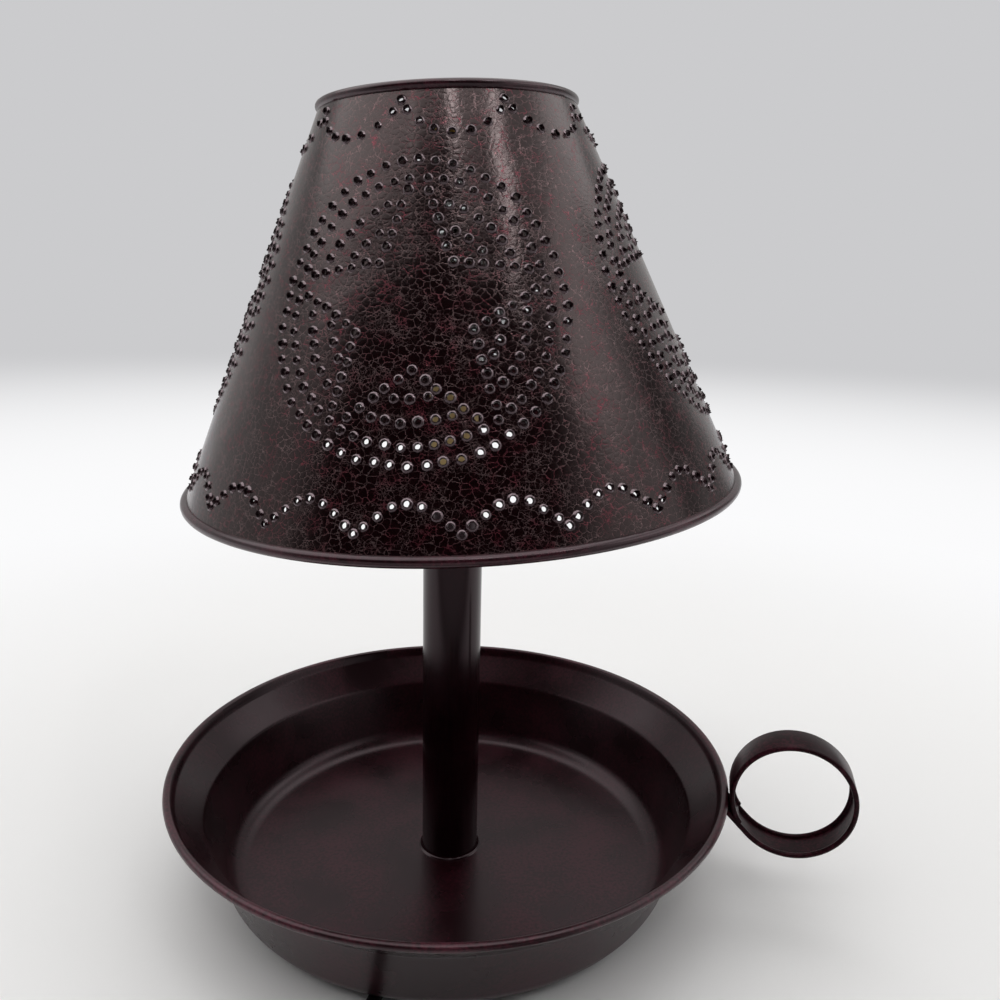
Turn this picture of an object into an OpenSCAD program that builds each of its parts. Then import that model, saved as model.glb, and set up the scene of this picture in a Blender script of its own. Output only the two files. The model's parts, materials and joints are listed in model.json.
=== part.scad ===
// Electric chamberstick lamp: a tin pan with a finger ring, a candle tube with a small screw socket,
// and a punched cone shade that clips on the bulb. Millimetres, +Z up.
// The origin is on the table under the middle of the lamp's box, which the finger ring draws to +X.

/* [Pan] */
// Diameter of the pan over its rolled rim
pan_d = 250; // [235:1:270]
// Height of the top of the rolled rim above the table
pan_h = 52; // [47:0.5:60]
// Diameter of the crease between the pan's wall and its flange
crease_d = 219; // [210:1:224]
// Height of that crease above the table
crease_h = 35; // [30:0.5:39]
// Lean of the pan's wall from upright, in degrees
wall_lean = 18; // [8:1:26]
// Inside radius of the corner between floor and wall
corner_r = 10; // [6:0.5:12]
// Thickness of the tin sheet of the pan
pan_sheet = 0.8; // [0.6:0.1:1.2]
// Diameter of the pan's rolled rim
pan_bead_d = 3.4; // [3:0.1:4.4]
// Diameter of the wire in the pan's rolled rim
pan_wire_d = 2.1; // [1.6:0.1:2.3]

/* [Feet] */
// Height of the felt feet, which leaves room for the cord
foot_h = 3.6; // [3.6:0.1:6]
// Diameter of a foot
foot_d = 16; // [10:1:20]
// Distance of the feet from the middle
foot_ring_r = 78; // [60:1:82]
// Number of feet
foot_count = 4; // [3:1:6]

/* [Finger ring] */
// Outside diameter of the finger ring
ring_d = 51.6; // [46:0.2:58]
// Width of the ring's strip
strip_w = 16; // [12:0.5:20]
// Thickness of the ring's strip
strip_t = 1; // [0.8:0.1:1.4]
// Gap between the ring and the pan's rim
ring_gap = 0.4; // [0.2:0.1:0.8]
// Height of the ring's middle above the middle of the rim
ring_rise = 5; // [2:0.5:8]
// Direction of the ring, in degrees from +X
ring_turn = -20; // [-60:1:60]
// Length of the tab that is soldered under the flange
tab_len = 9; // [6:0.5:11]

/* [Candle tube] */
// Outside diameter of the candle tube
tube_d = 25.7; // [24.6:0.1:30]
// Wall of the candle tube
tube_wall = 0.7; // [0.5:0.1:0.9]
// Height of the tube's upper edge above the table
tube_h = 177; // [160:1:178]
// Diameter of the hole in the pan's floor under the tube
floor_hole_d = 21.6; // [20:0.2:22]
// Thickness of the tube's cap
cap_t = 1.2; // [0.8:0.1:2]
// Depth of the cap's skirt inside the tube
cap_skirt = 5; // [3:0.5:8]

/* [Socket] */
// Outside diameter of the threaded nipple
nipple_d = 9.7; // [9:0.1:10.2]
// Bore of the nipple
nipple_bore = 6.6; // [6.4:0.1:7]
// Length of nipple below the tube's cap
nipple_drop = 9; // [6:0.5:14]
// Width across the flats of a lock nut
nut_af = 14; // [13:0.5:15]
// Thickness of a lock nut
nut_t = 3; // [2:0.25:4]
// Outside diameter of the paper sleeve
sleeve_d = 20.4; // [19.8:0.1:23]
// Wall of the paper sleeve
sleeve_wall = 0.7; // [0.4:0.1:0.8]
// Height of the sleeve
sleeve_h = 43; // [42:0.5:46]
// Outside diameter of the socket's moulded body
socket_d = 16; // [15.6:0.1:16.4]
// Height of the socket's moulded body
socket_h = 31; // [29:0.5:31]
// Wall of the screw shell
shell_wall = 0.4; // [0.3:0.05:0.5]
// Thickness of the bracket's strap
strap_t = 0.9; // [0.6:0.1:1]
// Width of the bracket's strap
strap_w = 6; // [4:0.5:7]

/* [Bulb] */
// Outside diameter of the bulb's screw cap
cap_d = 11.7; // [11.4:0.1:12]
// Length of the bulb's screw cap
bulb_cap_len = 20; // [18:0.5:21]
// Largest diameter of the glass
bulb_d = 32; // [28:0.5:34]
// Length of the glass from cap to widest place
bulb_rise = 26; // [22:0.5:30]
// Length of the pointed part of the glass
bulb_point = 59; // [50:0.5:60]
// Radius of the rounded tip
tip_r = 4; // [3:0.1:5]
// Thickness of the glass
glass_t = 0.8; // [0.6:0.1:1.2]

/* [Shade] */
// Diameter of the shade over its lower rolled edge
shade_low_d = 231; // [215:1:245]
// Diameter of the shade over its upper rolled edge
shade_top_d = 101; // [92:1:110]
// Height from the lower to the upper rolled edge
shade_h = 146; // [138:1:152]
// Depth of the spider's hub below the middle of the upper rolled edge
spider_drop = 16.5; // [12:0.5:20]
// Thickness of the shade's sheet
shade_sheet = 0.6; // [0.4:0.1:0.9]
// Diameter of the lower rolled edge
low_bead_d = 4; // [3:0.1:5]
// Diameter of the upper rolled edge
top_bead_d = 3.6; // [3:0.1:4.4]
// Diameter of the wire in the shade's rolled edges
shade_wire_d = 2; // [1.4:0.1:2.1]
// Width of the lapped seam at the back of the shade
seam_w = 5; // [3:0.5:8]
// Where the seam runs, seen from above, between two of the punched stars
seam_turn = 121.5; // [0:0.5:180]
// Sideways tilt of the shade as it sits on the bulb, in degrees
shade_tilt = 3.2; // [0:0.1:3.4]
// Forward tilt of the shade, in degrees
shade_nod = 1.3; // [0:0.1:1.6]

/* [Bulb clip] */
// Diameter of the clip's spring wire
clip_wire_d = 1.8; // [1.4:0.1:2.2]
// Radius of each wire loop
loop_r = 14; // [11:0.5:15]
// Clearance between the loops and the glass, which lets the clip sit crooked
loop_clear = 1; // [0.9:0.1:1.6]
// Diameter of the clip's stud
stud_d = 6.2; // [5.6:0.1:7]
// Diameter of the seat under the shade's hub
seat_d = 14; // [13:0.5:16]
// Thickness of the seat
seat_t = 2; // [1.5:0.1:3]
// Diameter of the hub of the shade's spider
hub_d = 18; // [15:0.5:22]
// Thickness of the hub
hub_t = 1.6; // [1.2:0.1:2.5]
// Diameter of a spider arm
arm_d = 2.8; // [2:0.1:3.2]
// Number of spider arms
arm_count = 3; // [3:1:4]
// Diameter of the nut on the stud
stud_nut_d = 11; // [9:0.5:12]
// Height of the nut on the stud
stud_nut_h = 7; // [5:0.5:8]

/* [Cord and switch] */
// Width of the flat twin cord
cord_w = 5.3; // [5:0.1:5.4]
// Thickness of the flat twin cord
cord_t = 2.7; // [2.4:0.1:2.8]
// Thickness of the strap of the cord clip
clip_t = 0.4; // [0.3:0.05:0.5]
// Length of the cord clip
clip_len = 8; // [5:0.5:12]
// Length of the switch on the cord
switch_l = 54; // [50:1:58]
// Width of the switch
switch_w = 22; // [20:0.5:24]
// Height of the switch
switch_h = 12; // [11:0.5:14]
// Diameter of the switch's thumb wheel
wheel_d = 18; // [16:0.5:20]
// Thickness of the thumb wheel
wheel_t = 4; // [3:0.25:5]
// Diameter of the thumb wheel's pin
wheel_pin_d = 3; // [2.5:0.1:4]
// Length of the plug's body
plug_l = 24; // [20:1:26]
// Width of the plug's body
plug_w = 20; // [18:0.5:23]
// Height of the plug's body
plug_h = 12; // [10:0.5:13]
// Length of the plug's tapered strain relief
relief_l = 20; // [20:1:26]
// Length of a plug blade
blade_l = 17; // [15:0.5:19]

/* [Hidden] */
$fn = 96;
// A clearance between pieces that are fixed to each other
fit = 0.05;
// A running clearance on a radius
run = 0.08;
far = 400;
// Distance from the middle of the lamp's box, cord left out, back to the candle tube's axis
frame_x = 21.8;

pan_r = pan_d / 2;
pan_bead_r = pan_bead_d / 2;
pan_bead = [pan_r - pan_bead_r, pan_h - pan_bead_r];
floor_top = foot_h + pan_sheet;
crease = [crease_d / 2, crease_h];
corner_mid_r = corner_r + pan_sheet / 2;
corner_z = foot_h + pan_sheet + corner_r;
wall_foot_z = corner_z - corner_mid_r * sin(wall_lean);
corner_x = crease[0] - (crease_h - wall_foot_z) * tan(wall_lean) - corner_mid_r * cos(wall_lean);
wall_foot = [corner_x + corner_mid_r * cos(wall_lean), wall_foot_z];

flange_way = (pan_bead - crease) / norm(pan_bead - crease);
flange_out = [flange_way[1], -flange_way[0]];

tube_r = tube_d / 2;
tube_in_r = tube_r - tube_wall;
cap_top = tube_h + cap_t;
nut_top = cap_top + nut_t;
bracket_t = 1.2;
bracket_top = nut_top + bracket_t;
nipple_top = bracket_top + 2.4;
sleeve_in_r = sleeve_d / 2 - sleeve_wall;
socket_z = nipple_top + 3.2;
socket_top = socket_z + socket_h;
shell_in_r = cap_d / 2 + run;
shell_out_r = shell_in_r + shell_wall;
shell_z = socket_z + 9;
contact_t = 0.8;

bulb_cap_z = shell_z + contact_t + 2;
bulb_cap_top = bulb_cap_z + bulb_cap_len;
bulb_cap_wall = 0.35;
neck_r = cap_d / 2 - bulb_cap_wall - fit;
bulb_r = bulb_d / 2;
wide_z = bulb_cap_top + bulb_rise;
point_r = (pow(bulb_r, 2) + pow(bulb_point + tip_r, 2)) / (2 * bulb_r);
rise_drop = bulb_r - neck_r;
rise_r = (pow(rise_drop, 2) + pow(bulb_rise, 2)) / (2 * rise_drop);
cut_z = wide_z + bulb_point;
cut_r = sqrt(pow(point_r, 2) - pow(bulb_point, 2)) - (point_r - bulb_r);
tip_z = cut_z - sqrt(max(0.01, pow(tip_r, 2) - pow(cut_r, 2)));
bulb_top = tip_z + tip_r;

pivot_z = wide_z + 14;
loop_wire_r = clip_wire_d / 2;
function glass_r(z) = sqrt(pow(point_r, 2) - pow(z - wide_z, 2)) - (point_r - bulb_r);
loop_x = glass_r(pivot_z) + loop_clear + loop_wire_r;
loop_lean = asin((pivot_z - wide_z) / point_r);
seat_z = bulb_top + 4.5;
hub_z = seat_z + seat_t + run;
stud_nut_z = hub_z + hub_t + run;
stud_top = stud_nut_z + stud_nut_h + 1;
stud_r = stud_d / 2;

shade_top_z = hub_z + spider_drop;
low_bead = [shade_low_d / 2 - low_bead_d / 2, shade_top_z - shade_h];
top_bead = [shade_top_d / 2 - top_bead_d / 2, shade_top_z];
cone_way = (top_bead - low_bead) / norm(top_bead - low_bead);
cone_out = [cone_way[1], -cone_way[0]];

cord_turn = -110.5;
cord_dir = [cos(cord_turn), sin(cord_turn)];
cord_z = foot_h - 0.35 - cord_t / 2;
clip_r = 80;
bend_r = 12;
socket_gap = 1;

switch_at = [37, -146];
seam_z = switch_h / 2 - 0.5;
wheel_shift = switch_w / 2 + 3 - wheel_d / 2;
wheel_room = 0.4;
switch_pocket = 6;
screw_x = -15;

coil_mid = [53, -204];
coil_r = 38.5;
coil_step = 4.6;
coil_turns = 8.25;
coil_layer = 6.3;
coil_rings = 24;
coil_low_z = cord_w / 2 + 0.05;
plug_z = plug_h / 2;
plug_x = coil_mid[0] - 33;
plug_y = coil_mid[1] - coil_r;

tin = "#2e1518";
brass = "#b08d4a";
steel = "#8d8f92";
paper = "#cdb88c";
black = "#17171a";

// Route of the cord from its clip to the switch, chosen by hand
lead_route = [
    [-29.5, -78.5, 1.9], [-31.5, -84.5, 1.6], [-34.5, -92, 1.4], [-37, -99, 1.4], [-39.5, -105.5, 1.4],
    [-41, -111, 1.4], [-41.5, -116, 1.4], [-39.5, -126.5, 1.4], [-34.5, -135.5, 1.5], [-26.5, -142, 1.9],
    [-19, -145, 2.8], [-11, -146, 4], [-2, -146, 5.2], [5, -146, 5.5], [13, -146, 5.5]
];
// Route of the cord from the switch to the coil, chosen by hand
run_route = [
    [61, -146, 5.5], [68, -146, 5.5], [75, -148, 5.1], [82, -153, 4.4], [87.5, -160, 3.7], [90.5, -168, 3.2],
    [91.5, -177, 2.8], [91.5, -186, 2.7], [91.5, -198, 2.7]
];

// A straight stretch of sheet between two points of a profile
module strip_2d(a, b, t) {
    way = b - a;
    translate(a)
        rotate(atan2(way[1], way[0]))
            translate([0, -t / 2])
                square([norm(way), t]);
}

// A bar with round corners, standing on z
module rounded_bar(l, w, h, r) {
    linear_extrude(h) {
        square([l - 2 * r, w], center = true);
        square([l, w - 2 * r], center = true);
        for (x = [-1, 1], y = [-1, 1])
            translate([x * (l / 2 - r), y * (w / 2 - r)])
                circle(r);
    }
}

// A round wire between two points
module wire(a, b, r) {
    way = b - a;
    translate(a)
        rotate([0, acos(way[2] / norm(way)), atan2(way[1], way[0])])
            cylinder(r = r, h = norm(way));
}

// Moves the lamp so that the origin is under the middle of its box
module placed() {
    translate([-frame_x, 0, 0])
        children();
}

// Places what belongs to the shade and its clip as they sit on the bulb
module on_bulb() {
    translate([0, 0, pivot_z])
        rotate([shade_nod, -shade_tilt, 0])
            translate([0, 0, -pivot_z])
                children();
}

// The outline of a flat twin cord, as points [across, through]
function cord_outline(n) =
    n == 6
    ? [for (p = [[1, 0], [0.5, 1], [-0.5, 1], [-1, 0], [-0.5, -1], [0.5, -1]])
        [p[0] * cord_w / 2, p[1] * cord_t / 2]]
    : [for (p = [[1, 0.45], [0.6, 1], [-0.6, 1], [-1, 0.45], [-1, -0.45], [-0.6, -1], [0.6, -1], [1, -0.45]])
        [p[0] * cord_w / 2, p[1] * cord_t / 2]];

function unit(v) = v / norm(v);
function way_at(p, i) = unit(p[min(i + 1, len(p) - 1)] - p[max(i - 1, 0)]);

// One closed tube of cord along points, with the direction of its width at each point
module swept_cord(points, across, sides) {
    outline = cord_outline(sides);
    rings = [
        for (i = [0:len(points) - 1])
            let (way = way_at(points, i))
            let (side = unit(across[i] - way * (across[i] * way)))
            let (through = cross(way, side))
            for (q = outline) points[i] + side * q[0] + through * q[1]
    ];
    last = (len(points) - 1) * sides;
    faces = [
        for (i = [0:len(points) - 2], k = [0:sides - 1], half = [0, 1])
            let (a = i * sides + k)
            let (b = i * sides + (k + 1) % sides)
            half == 0 ? [a, a + sides, b] : [b, a + sides, b + sides]
    ];
    ends = [
        for (k = [1:sides - 2], end = [0, 1])
            end == 0 ? [0, k, k + 1] : [last, last + k + 1, last + k]
    ];
    polyhedron(points = rings, faces = concat(faces, ends), convexity = 10);
}

// Pressed tin dish with a rolled rim, a crease under its flange, and a hole for the cord
module pan() {
    color(tin) placed()
        rotate_extrude()
            difference() {
                union() {
                    translate([floor_hole_d / 2, foot_h])
                        square([corner_x - floor_hole_d / 2, pan_sheet]);
                    intersection() {
                        translate([corner_x, corner_z])
                            difference() {
                                circle(corner_r + pan_sheet);
                                circle(corner_r);
                            }
                        translate([corner_x, corner_z])
                            polygon([[0, 0], [0, -far], [far, -far], [far * cos(wall_lean), -far * sin(wall_lean)]]);
                    }
                    strip_2d(wall_foot, crease, pan_sheet);
                    translate(crease)
                        circle(pan_sheet / 2);
                    strip_2d(crease, pan_bead, pan_sheet);
                    translate(pan_bead)
                        circle(pan_bead_r);
                }
                translate(pan_bead)
                    circle(pan_wire_d / 2 + fit);
            }
}

// Wire inside the pan's rolled rim
module pan_wire() {
    color(steel) placed()
        rotate_extrude()
            translate(pan_bead)
                circle(pan_wire_d / 2);
}

// Felt feet glued under the floor
module feet() {
    color(black) placed()
        for (i = [0:foot_count - 1])
            rotate(cord_turn + (i + 0.5) * 360 / foot_count)
                translate([foot_ring_r, 0, 0])
                    cylinder(d = foot_d, h = foot_h);
}

ring_r = ring_d / 2;
ring_mid_r = ring_r - strip_t / 2;
ring_z = pan_bead[1] + ring_rise;
ring_x = pan_bead[0] + sqrt(pow(ring_r + pan_bead_r + ring_gap, 2) - pow(ring_rise, 2));
tail_turn = 225;
ring_end = 206;
tail_from = [ring_x, ring_z] + ring_mid_r * [cos(tail_turn), sin(tail_turn)];
tail_way = [sin(tail_turn), -cos(tail_turn)];
tab_off = pan_sheet / 2 + strip_t / 2 + fit;
tail_len = ((tail_from - crease) * flange_out - tab_off) / -(tail_way * flange_out);
tail_to = tail_from + tail_way * tail_len;
tab_to = tail_to - flange_way * tab_len;

// Finger ring of flat strip, whose tail hooks under the flange
module finger_ring() {
    color(tin) placed()
        rotate(ring_turn)
            rotate([90, 0, 0])
                translate([0, 0, -strip_w / 2])
                    linear_extrude(strip_w) {
                        translate([ring_x, ring_z])
                            difference() {
                                circle(ring_r);
                                circle(ring_r - strip_t);
                                polygon([[0, 0], far * [cos(ring_end), sin(ring_end)],
                                    far * [cos(tail_turn), sin(tail_turn)]]);
                            }
                        strip_2d(tail_from, tail_to, strip_t);
                        translate(tail_to)
                            circle(strip_t / 2);
                        strip_2d(tail_to, tab_to, strip_t);
                    }
}

// Tube that stands for the candle, soldered on the pan's floor
module candle_tube() {
    color(tin) placed()
        translate([0, 0, floor_top])
            difference() {
                cylinder(r = tube_r, h = tube_h - floor_top);
                translate([0, 0, -1])
                    cylinder(r = tube_in_r, h = tube_h - floor_top + 2);
            }
}

// Cap on the tube, which carries the nipple
module tube_cap() {
    color(tin) placed()
        difference() {
            union() {
                translate([0, 0, tube_h])
                    cylinder(r = tube_r, h = cap_t);
                translate([0, 0, tube_h - cap_skirt])
                    cylinder(r = tube_in_r - fit, h = cap_skirt);
            }
            translate([0, 0, tube_h - cap_skirt - 1])
                cylinder(r = tube_in_r - fit - tube_wall, h = cap_skirt + 1);
            translate([0, 0, tube_h - 1])
                cylinder(r = nipple_d / 2 + fit, h = cap_t + 2);
        }
}

// Hollow threaded nipple, through which the cord comes up
module nipple() {
    color(steel) placed()
        translate([0, 0, tube_h - nipple_drop])
            difference() {
                cylinder(d = nipple_d, h = nipple_top - tube_h + nipple_drop);
                translate([0, 0, -1])
                    cylinder(d = nipple_bore, h = nipple_top - tube_h + nipple_drop + 2);
            }
}

// Two hex nuts that clamp the cap on the nipple
module lock_nuts() {
    color(steel) placed()
        for (z = [tube_h - nut_t, cap_top])
            translate([0, 0, z])
                difference() {
                    cylinder(d = nut_af / cos(30), h = nut_t, $fn = 6);
                    translate([0, 0, -1])
                        cylinder(d = nipple_d + 2 * fit, h = nut_t + 2);
                }
}

strap_in = socket_d / 2 + fit;
rivet_z = socket_z + 4;

// Steel bracket on the nipple, with a strap up the side of the socket
module socket_bracket() {
    color(steel) placed()
        difference() {
            union() {
                translate([0, 0, nut_top])
                    cylinder(r = strap_in, h = bracket_t);
                translate([strap_in - strap_t, -strap_w / 2, nut_top])
                    cube([2 * strap_t, strap_w, bracket_t]);
                translate([strap_in, -strap_w / 2, nut_top])
                    cube([strap_t, strap_w, rivet_z + 4 - nut_top]);
            }
            translate([0, 0, nut_top - 1])
                cylinder(d = nipple_d + 2 * fit, h = bracket_t + 2);
            translate([strap_in - 1, 0, rivet_z])
                rotate([0, 90, 0])
                    cylinder(r = 1 + fit, h = strap_t + 2, $fn = 32);
        }
}

// Rivet between strap and socket
module socket_rivet() {
    color(steel) placed()
        translate([strap_in - 4, 0, rivet_z])
            rotate([0, 90, 0])
                cylinder(r = 1, h = strap_t + 4, $fn = 32);
}

// Moulded body of the socket
module socket_body() {
    color(black) placed()
        difference() {
            translate([0, 0, socket_z])
                cylinder(d = socket_d, h = socket_h);
            translate([0, 0, shell_z])
                cylinder(r = shell_out_r + fit, h = socket_h);
            translate([0, 0, socket_z - 1])
                cylinder(r = 1.2, h = far / 4, $fn = 32);
            translate([strap_in - 4 - fit, 0, rivet_z])
                rotate([0, 90, 0])
                    cylinder(r = 1 + fit, h = 10, $fn = 32);
        }
}

// Screw shell of the socket, with the thread left out
module screw_shell() {
    color(brass) placed()
        translate([0, 0, shell_z + 2])
            difference() {
                cylinder(r = shell_out_r, h = socket_top - shell_z - 3);
                translate([0, 0, -1])
                    cylinder(r = shell_in_r, h = socket_h);
            }
}

// Contact at the bottom of the socket
module socket_contact() {
    color(brass) placed()
        translate([0, 0, shell_z - 3])
            {
                cylinder(r = 1.1, h = 3, $fn = 32);
                translate([0, 0, 3])
                    cylinder(r = 3, h = contact_t, $fn = 48);
            }
}

// Paper sleeve round the socket
module paper_sleeve() {
    color(paper) placed()
        translate([0, 0, cap_top])
            difference() {
                cylinder(d = sleeve_d, h = sleeve_h);
                translate([0, 0, -1])
                    cylinder(r = sleeve_in_r, h = sleeve_h + 2);
            }
}

bend_steps = 6;
lead_from_r = norm([lead_route[0][0], lead_route[0][1]]) - 0.15;
inner_flat = [for (f = [1, 0.86, 0.7, 0.52, 0.34]) [f * lead_from_r, cord_z]];
inner_bend = [for (i = [0:bend_steps])
    let (a = 90 * i / bend_steps)
    [bend_r * (1 - sin(a)), cord_z + bend_r * (1 - cos(a))]];
inner_rise = [for (z = [0.23 * tube_h, 0.46 * tube_h, 0.7 * tube_h, tube_h - nipple_drop, socket_z - socket_gap])
    [0, z]];
inner_route = [for (p = concat(inner_flat, inner_bend, inner_rise))
    [p[0] * cord_dir[0], p[0] * cord_dir[1], p[1]]];

// Cord under the floor and up the tube to the socket
module inner_cord() {
    color(black) placed()
        swept_cord(inner_route, [for (p = inner_route) [-cord_dir[1], cord_dir[0], 0]], 8);
}

clip_w = cord_w + 0.6;
clip_z = cord_z - cord_t / 2 - 0.05 - clip_t;

// Strap under the floor that takes the pull on the cord
module cord_clip() {
    color(tin) placed()
        rotate(cord_turn)
            translate([clip_r - clip_len / 2, 0, 0])
                difference() {
                    translate([0, -clip_w / 2 - clip_t, clip_z])
                        cube([clip_len, clip_w + 2 * clip_t, foot_h - clip_z]);
                    translate([-1, -clip_w / 2, clip_z + clip_t])
                        cube([clip_len + 2, clip_w, foot_h]);
                }
}

// Screw cap of the bulb
module bulb_cap() {
    color(brass) placed()
        translate([0, 0, bulb_cap_z])
            difference() {
                cylinder(d = cap_d, h = bulb_cap_len);
                translate([0, 0, bulb_cap_wall + 1])
                    cylinder(r = cap_d / 2 - bulb_cap_wall, h = bulb_cap_len);
                translate([0, 0, -1])
                    cylinder(r = 1.6 + fit, h = 4, $fn = 48);
            }
}

// Contact under the bulb, in its insulating ring
module bulb_contact() {
    color(steel) placed()
        translate([0, 0, shell_z + contact_t + 0.3]) {
            cylinder(r = 2.4, h = bulb_cap_z - shell_z - contact_t - 0.3, $fn = 48);
            cylinder(r = 1.6, h = bulb_cap_z - shell_z - contact_t + 0.7, $fn = 48);
        }
}

// Profile of the glass, drawn in by an amount all round
module glass_2d(inset) {
    intersection() {
        translate([bulb_r - point_r, wide_z])
            circle(point_r - inset, $fn = 360);
        translate([0, wide_z])
            square([bulb_d, bulb_point]);
    }
    intersection() {
        translate([bulb_r - rise_r, wide_z])
            circle(rise_r - inset, $fn = 180);
        translate([0, wide_z - bulb_rise])
            square([bulb_d, bulb_rise]);
    }
    translate([0, bulb_cap_top - 4 + inset])
        square([neck_r - inset, 4]);
    intersection() {
        translate([0, tip_z])
            circle(tip_r - inset);
        translate([0, cut_z - 0.01])
            square([bulb_d, tip_r * 2]);
    }
}

// Clear glass of the bulb
module bulb_glass() {
    color("#efece4") placed()
        rotate_extrude()
            difference() {
                glass_2d(0);
                glass_2d(glass_t);
            }
}

wire_bend_low = [loop_x - loop_r * sin(loop_lean), 0, pivot_z + loop_r * cos(loop_lean)];
wire_bend_mid = [wire_bend_low[0], 0, cut_z - 2];
wire_bend_high = [seat_d / 2 - clip_wire_d, 0, seat_z - 2.5];
wire_end = [wire_bend_high[0], 0, seat_z];

// Spring wire loops that grip the bulb
module bulb_clip() {
    color(steel) placed()
        on_bulb()
            for (side = [0, 180])
                rotate(side) {
                    translate([loop_x, 0, pivot_z])
                        rotate([0, 90 - loop_lean, 0])
                            rotate_extrude($fn = 64)
                                translate([loop_r, 0])
                                    circle(loop_wire_r, $fn = 24);
                    wire(wire_bend_low, wire_bend_mid, loop_wire_r - fit);
                    translate(wire_bend_mid)
                        sphere(loop_wire_r, $fn = 24);
                    wire(wire_bend_mid, wire_bend_high, loop_wire_r - fit);
                    translate(wire_bend_high)
                        sphere(loop_wire_r, $fn = 24);
                    wire(wire_bend_high, wire_end, loop_wire_r - fit);
                }
}

// Seat and stud on top of the clip
module clip_stud() {
    color(steel) placed()
        on_bulb() {
            translate([0, 0, seat_z])
                cylinder(d = seat_d, h = seat_t);
            translate([0, 0, seat_z])
                cylinder(r = stud_r, h = stud_top - seat_z);
        }
}

// Nut that keeps the shade on the stud
module stud_nut() {
    color(brass) placed()
        on_bulb()
            translate([0, 0, stud_nut_z])
                difference() {
                    cylinder(d = stud_nut_d, h = stud_nut_h);
                    translate([0, 0, -1])
                        cylinder(r = stud_r + fit, h = stud_nut_h + 2);
                }
}

// Profile of the cone's sheet with its two rolled edges
module cone_2d() {
    difference() {
        union() {
            strip_2d(low_bead, top_bead, shade_sheet);
            translate(low_bead)
                circle(low_bead_d / 2);
            translate(top_bead)
                circle(top_bead_d / 2);
        }
        translate(low_bead)
            circle(shade_wire_d / 2 + fit);
        translate(top_bead)
            circle(shade_wire_d / 2 + fit);
    }
}

seam_gap = 5;
seam_from = low_bead + cone_way * seam_gap + cone_out * shade_sheet;
seam_to = top_bead - cone_way * seam_gap + cone_out * shade_sheet;
seam_angle = seam_w / low_bead[0] * 180 / PI;

// Cone of tin sheet with a lapped seam at the back
module shade_cone() {
    color(tin) placed()
        on_bulb() {
            rotate_extrude()
                cone_2d();
            rotate(seam_turn - seam_angle / 2)
                rotate_extrude(angle = seam_angle)
                    strip_2d(seam_from, seam_to, shade_sheet);
        }
}

// Wire in the shade's lower rolled edge
module shade_low_wire() {
    color(steel) placed()
        on_bulb()
            rotate_extrude()
                translate(low_bead)
                    circle(shade_wire_d / 2);
}

// Wire in the shade's upper rolled edge
module shade_top_wire() {
    color(steel) placed()
        on_bulb()
            rotate_extrude()
                translate(top_bead)
                    circle(shade_wire_d / 2);
}

arm_z = hub_z + hub_t / 2;
inside_gap = shade_sheet / 2 + fit;
inside_low = low_bead - cone_out * inside_gap;
inside_top = top_bead - cone_out * inside_gap;

// Hub on the stud with arms to the inside of the cone
module shade_spider() {
    color(steel) placed()
        on_bulb()
            difference() {
                union() {
                    translate([0, 0, hub_z])
                        cylinder(d = hub_d, h = hub_t);
                    intersection() {
                        for (i = [0:arm_count - 1])
                            rotate(30 + i * 360 / arm_count)
                                translate([hub_d / 2 - 2, 0, arm_z])
                                    rotate([0, 90, 0])
                                        cylinder(d = arm_d, h = shade_low_d / 2, $fn = 32);
                        translate([0, 0, inside_low[1]])
                            cylinder(r1 = inside_low[0], r2 = inside_top[0], h = inside_top[1] - inside_low[1]);
                    }
                }
                translate([0, 0, hub_z - 1])
                    cylinder(r = stud_r + run, h = hub_t + 2);
            }
}

// Free cord between its clip and the switch
module cord_lead() {
    color(black) placed()
        swept_cord(lead_route, [for (i = [0:len(lead_route) - 1])
            let (way = way_at(lead_route, i))
            [-way[1], way[0], 0]], 8);
}

// The room inside the switch for its wheel, pin and cord ends
module switch_room() {
    translate([0, wheel_shift, seam_z - wheel_t / 2 - wheel_room])
        cylinder(r = wheel_d / 2 + wheel_room, h = wheel_t + 2 * wheel_room);
    translate([0, wheel_shift, 1.5])
        cylinder(r = wheel_pin_d / 2 + fit, h = switch_h - 3);
    for (side = [-1, 1])
        translate([side * (switch_l / 2 - switch_pocket / 2 + 0.5), 0, seam_z])
            cube([switch_pocket + 1, cord_w + 0.4, cord_t + 0.4], center = true);
}

module at_switch() {
    translate([switch_at[0], switch_at[1], 0])
        children();
}

// Lower half of the switch
module switch_base() {
    color(black) placed()
        at_switch()
            difference() {
                rounded_bar(switch_l, switch_w, seam_z, 4);
                switch_room();
                translate([screw_x, 0, 1])
                    cylinder(r = 1.2 + fit, h = switch_h, $fn = 32);
            }
}

// Upper half of the switch
module switch_cover() {
    color(black) placed()
        at_switch()
            difference() {
                translate([0, 0, seam_z])
                    rounded_bar(switch_l, switch_w, switch_h - seam_z, 4);
                switch_room();
                translate([screw_x, 0, seam_z - 1])
                    cylinder(r = 1.2 + fit, h = switch_h, $fn = 32);
                translate([screw_x, 0, switch_h - 1.6])
                    cylinder(r = 2.4 + fit, h = switch_h, $fn = 48);
            }
}

// Pin that the thumb wheel turns on
module switch_pin() {
    color(steel) placed()
        at_switch()
            translate([0, wheel_shift, 1.5])
                cylinder(d = wheel_pin_d, h = switch_h - 3);
}

// Screw that closes the switch
module switch_screw() {
    color(steel) placed()
        at_switch()
            translate([screw_x, 0, 1])
                difference() {
                    union() {
                        cylinder(r = 1.2, h = switch_h - 2, $fn = 32);
                        translate([0, 0, switch_h - 2.6])
                            cylinder(r = 2.4, h = 1.4, $fn = 48);
                    }
                    translate([-3, -0.3, switch_h - 1.8])
                        cube([6, 0.6, 1]);
                }
}

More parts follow.
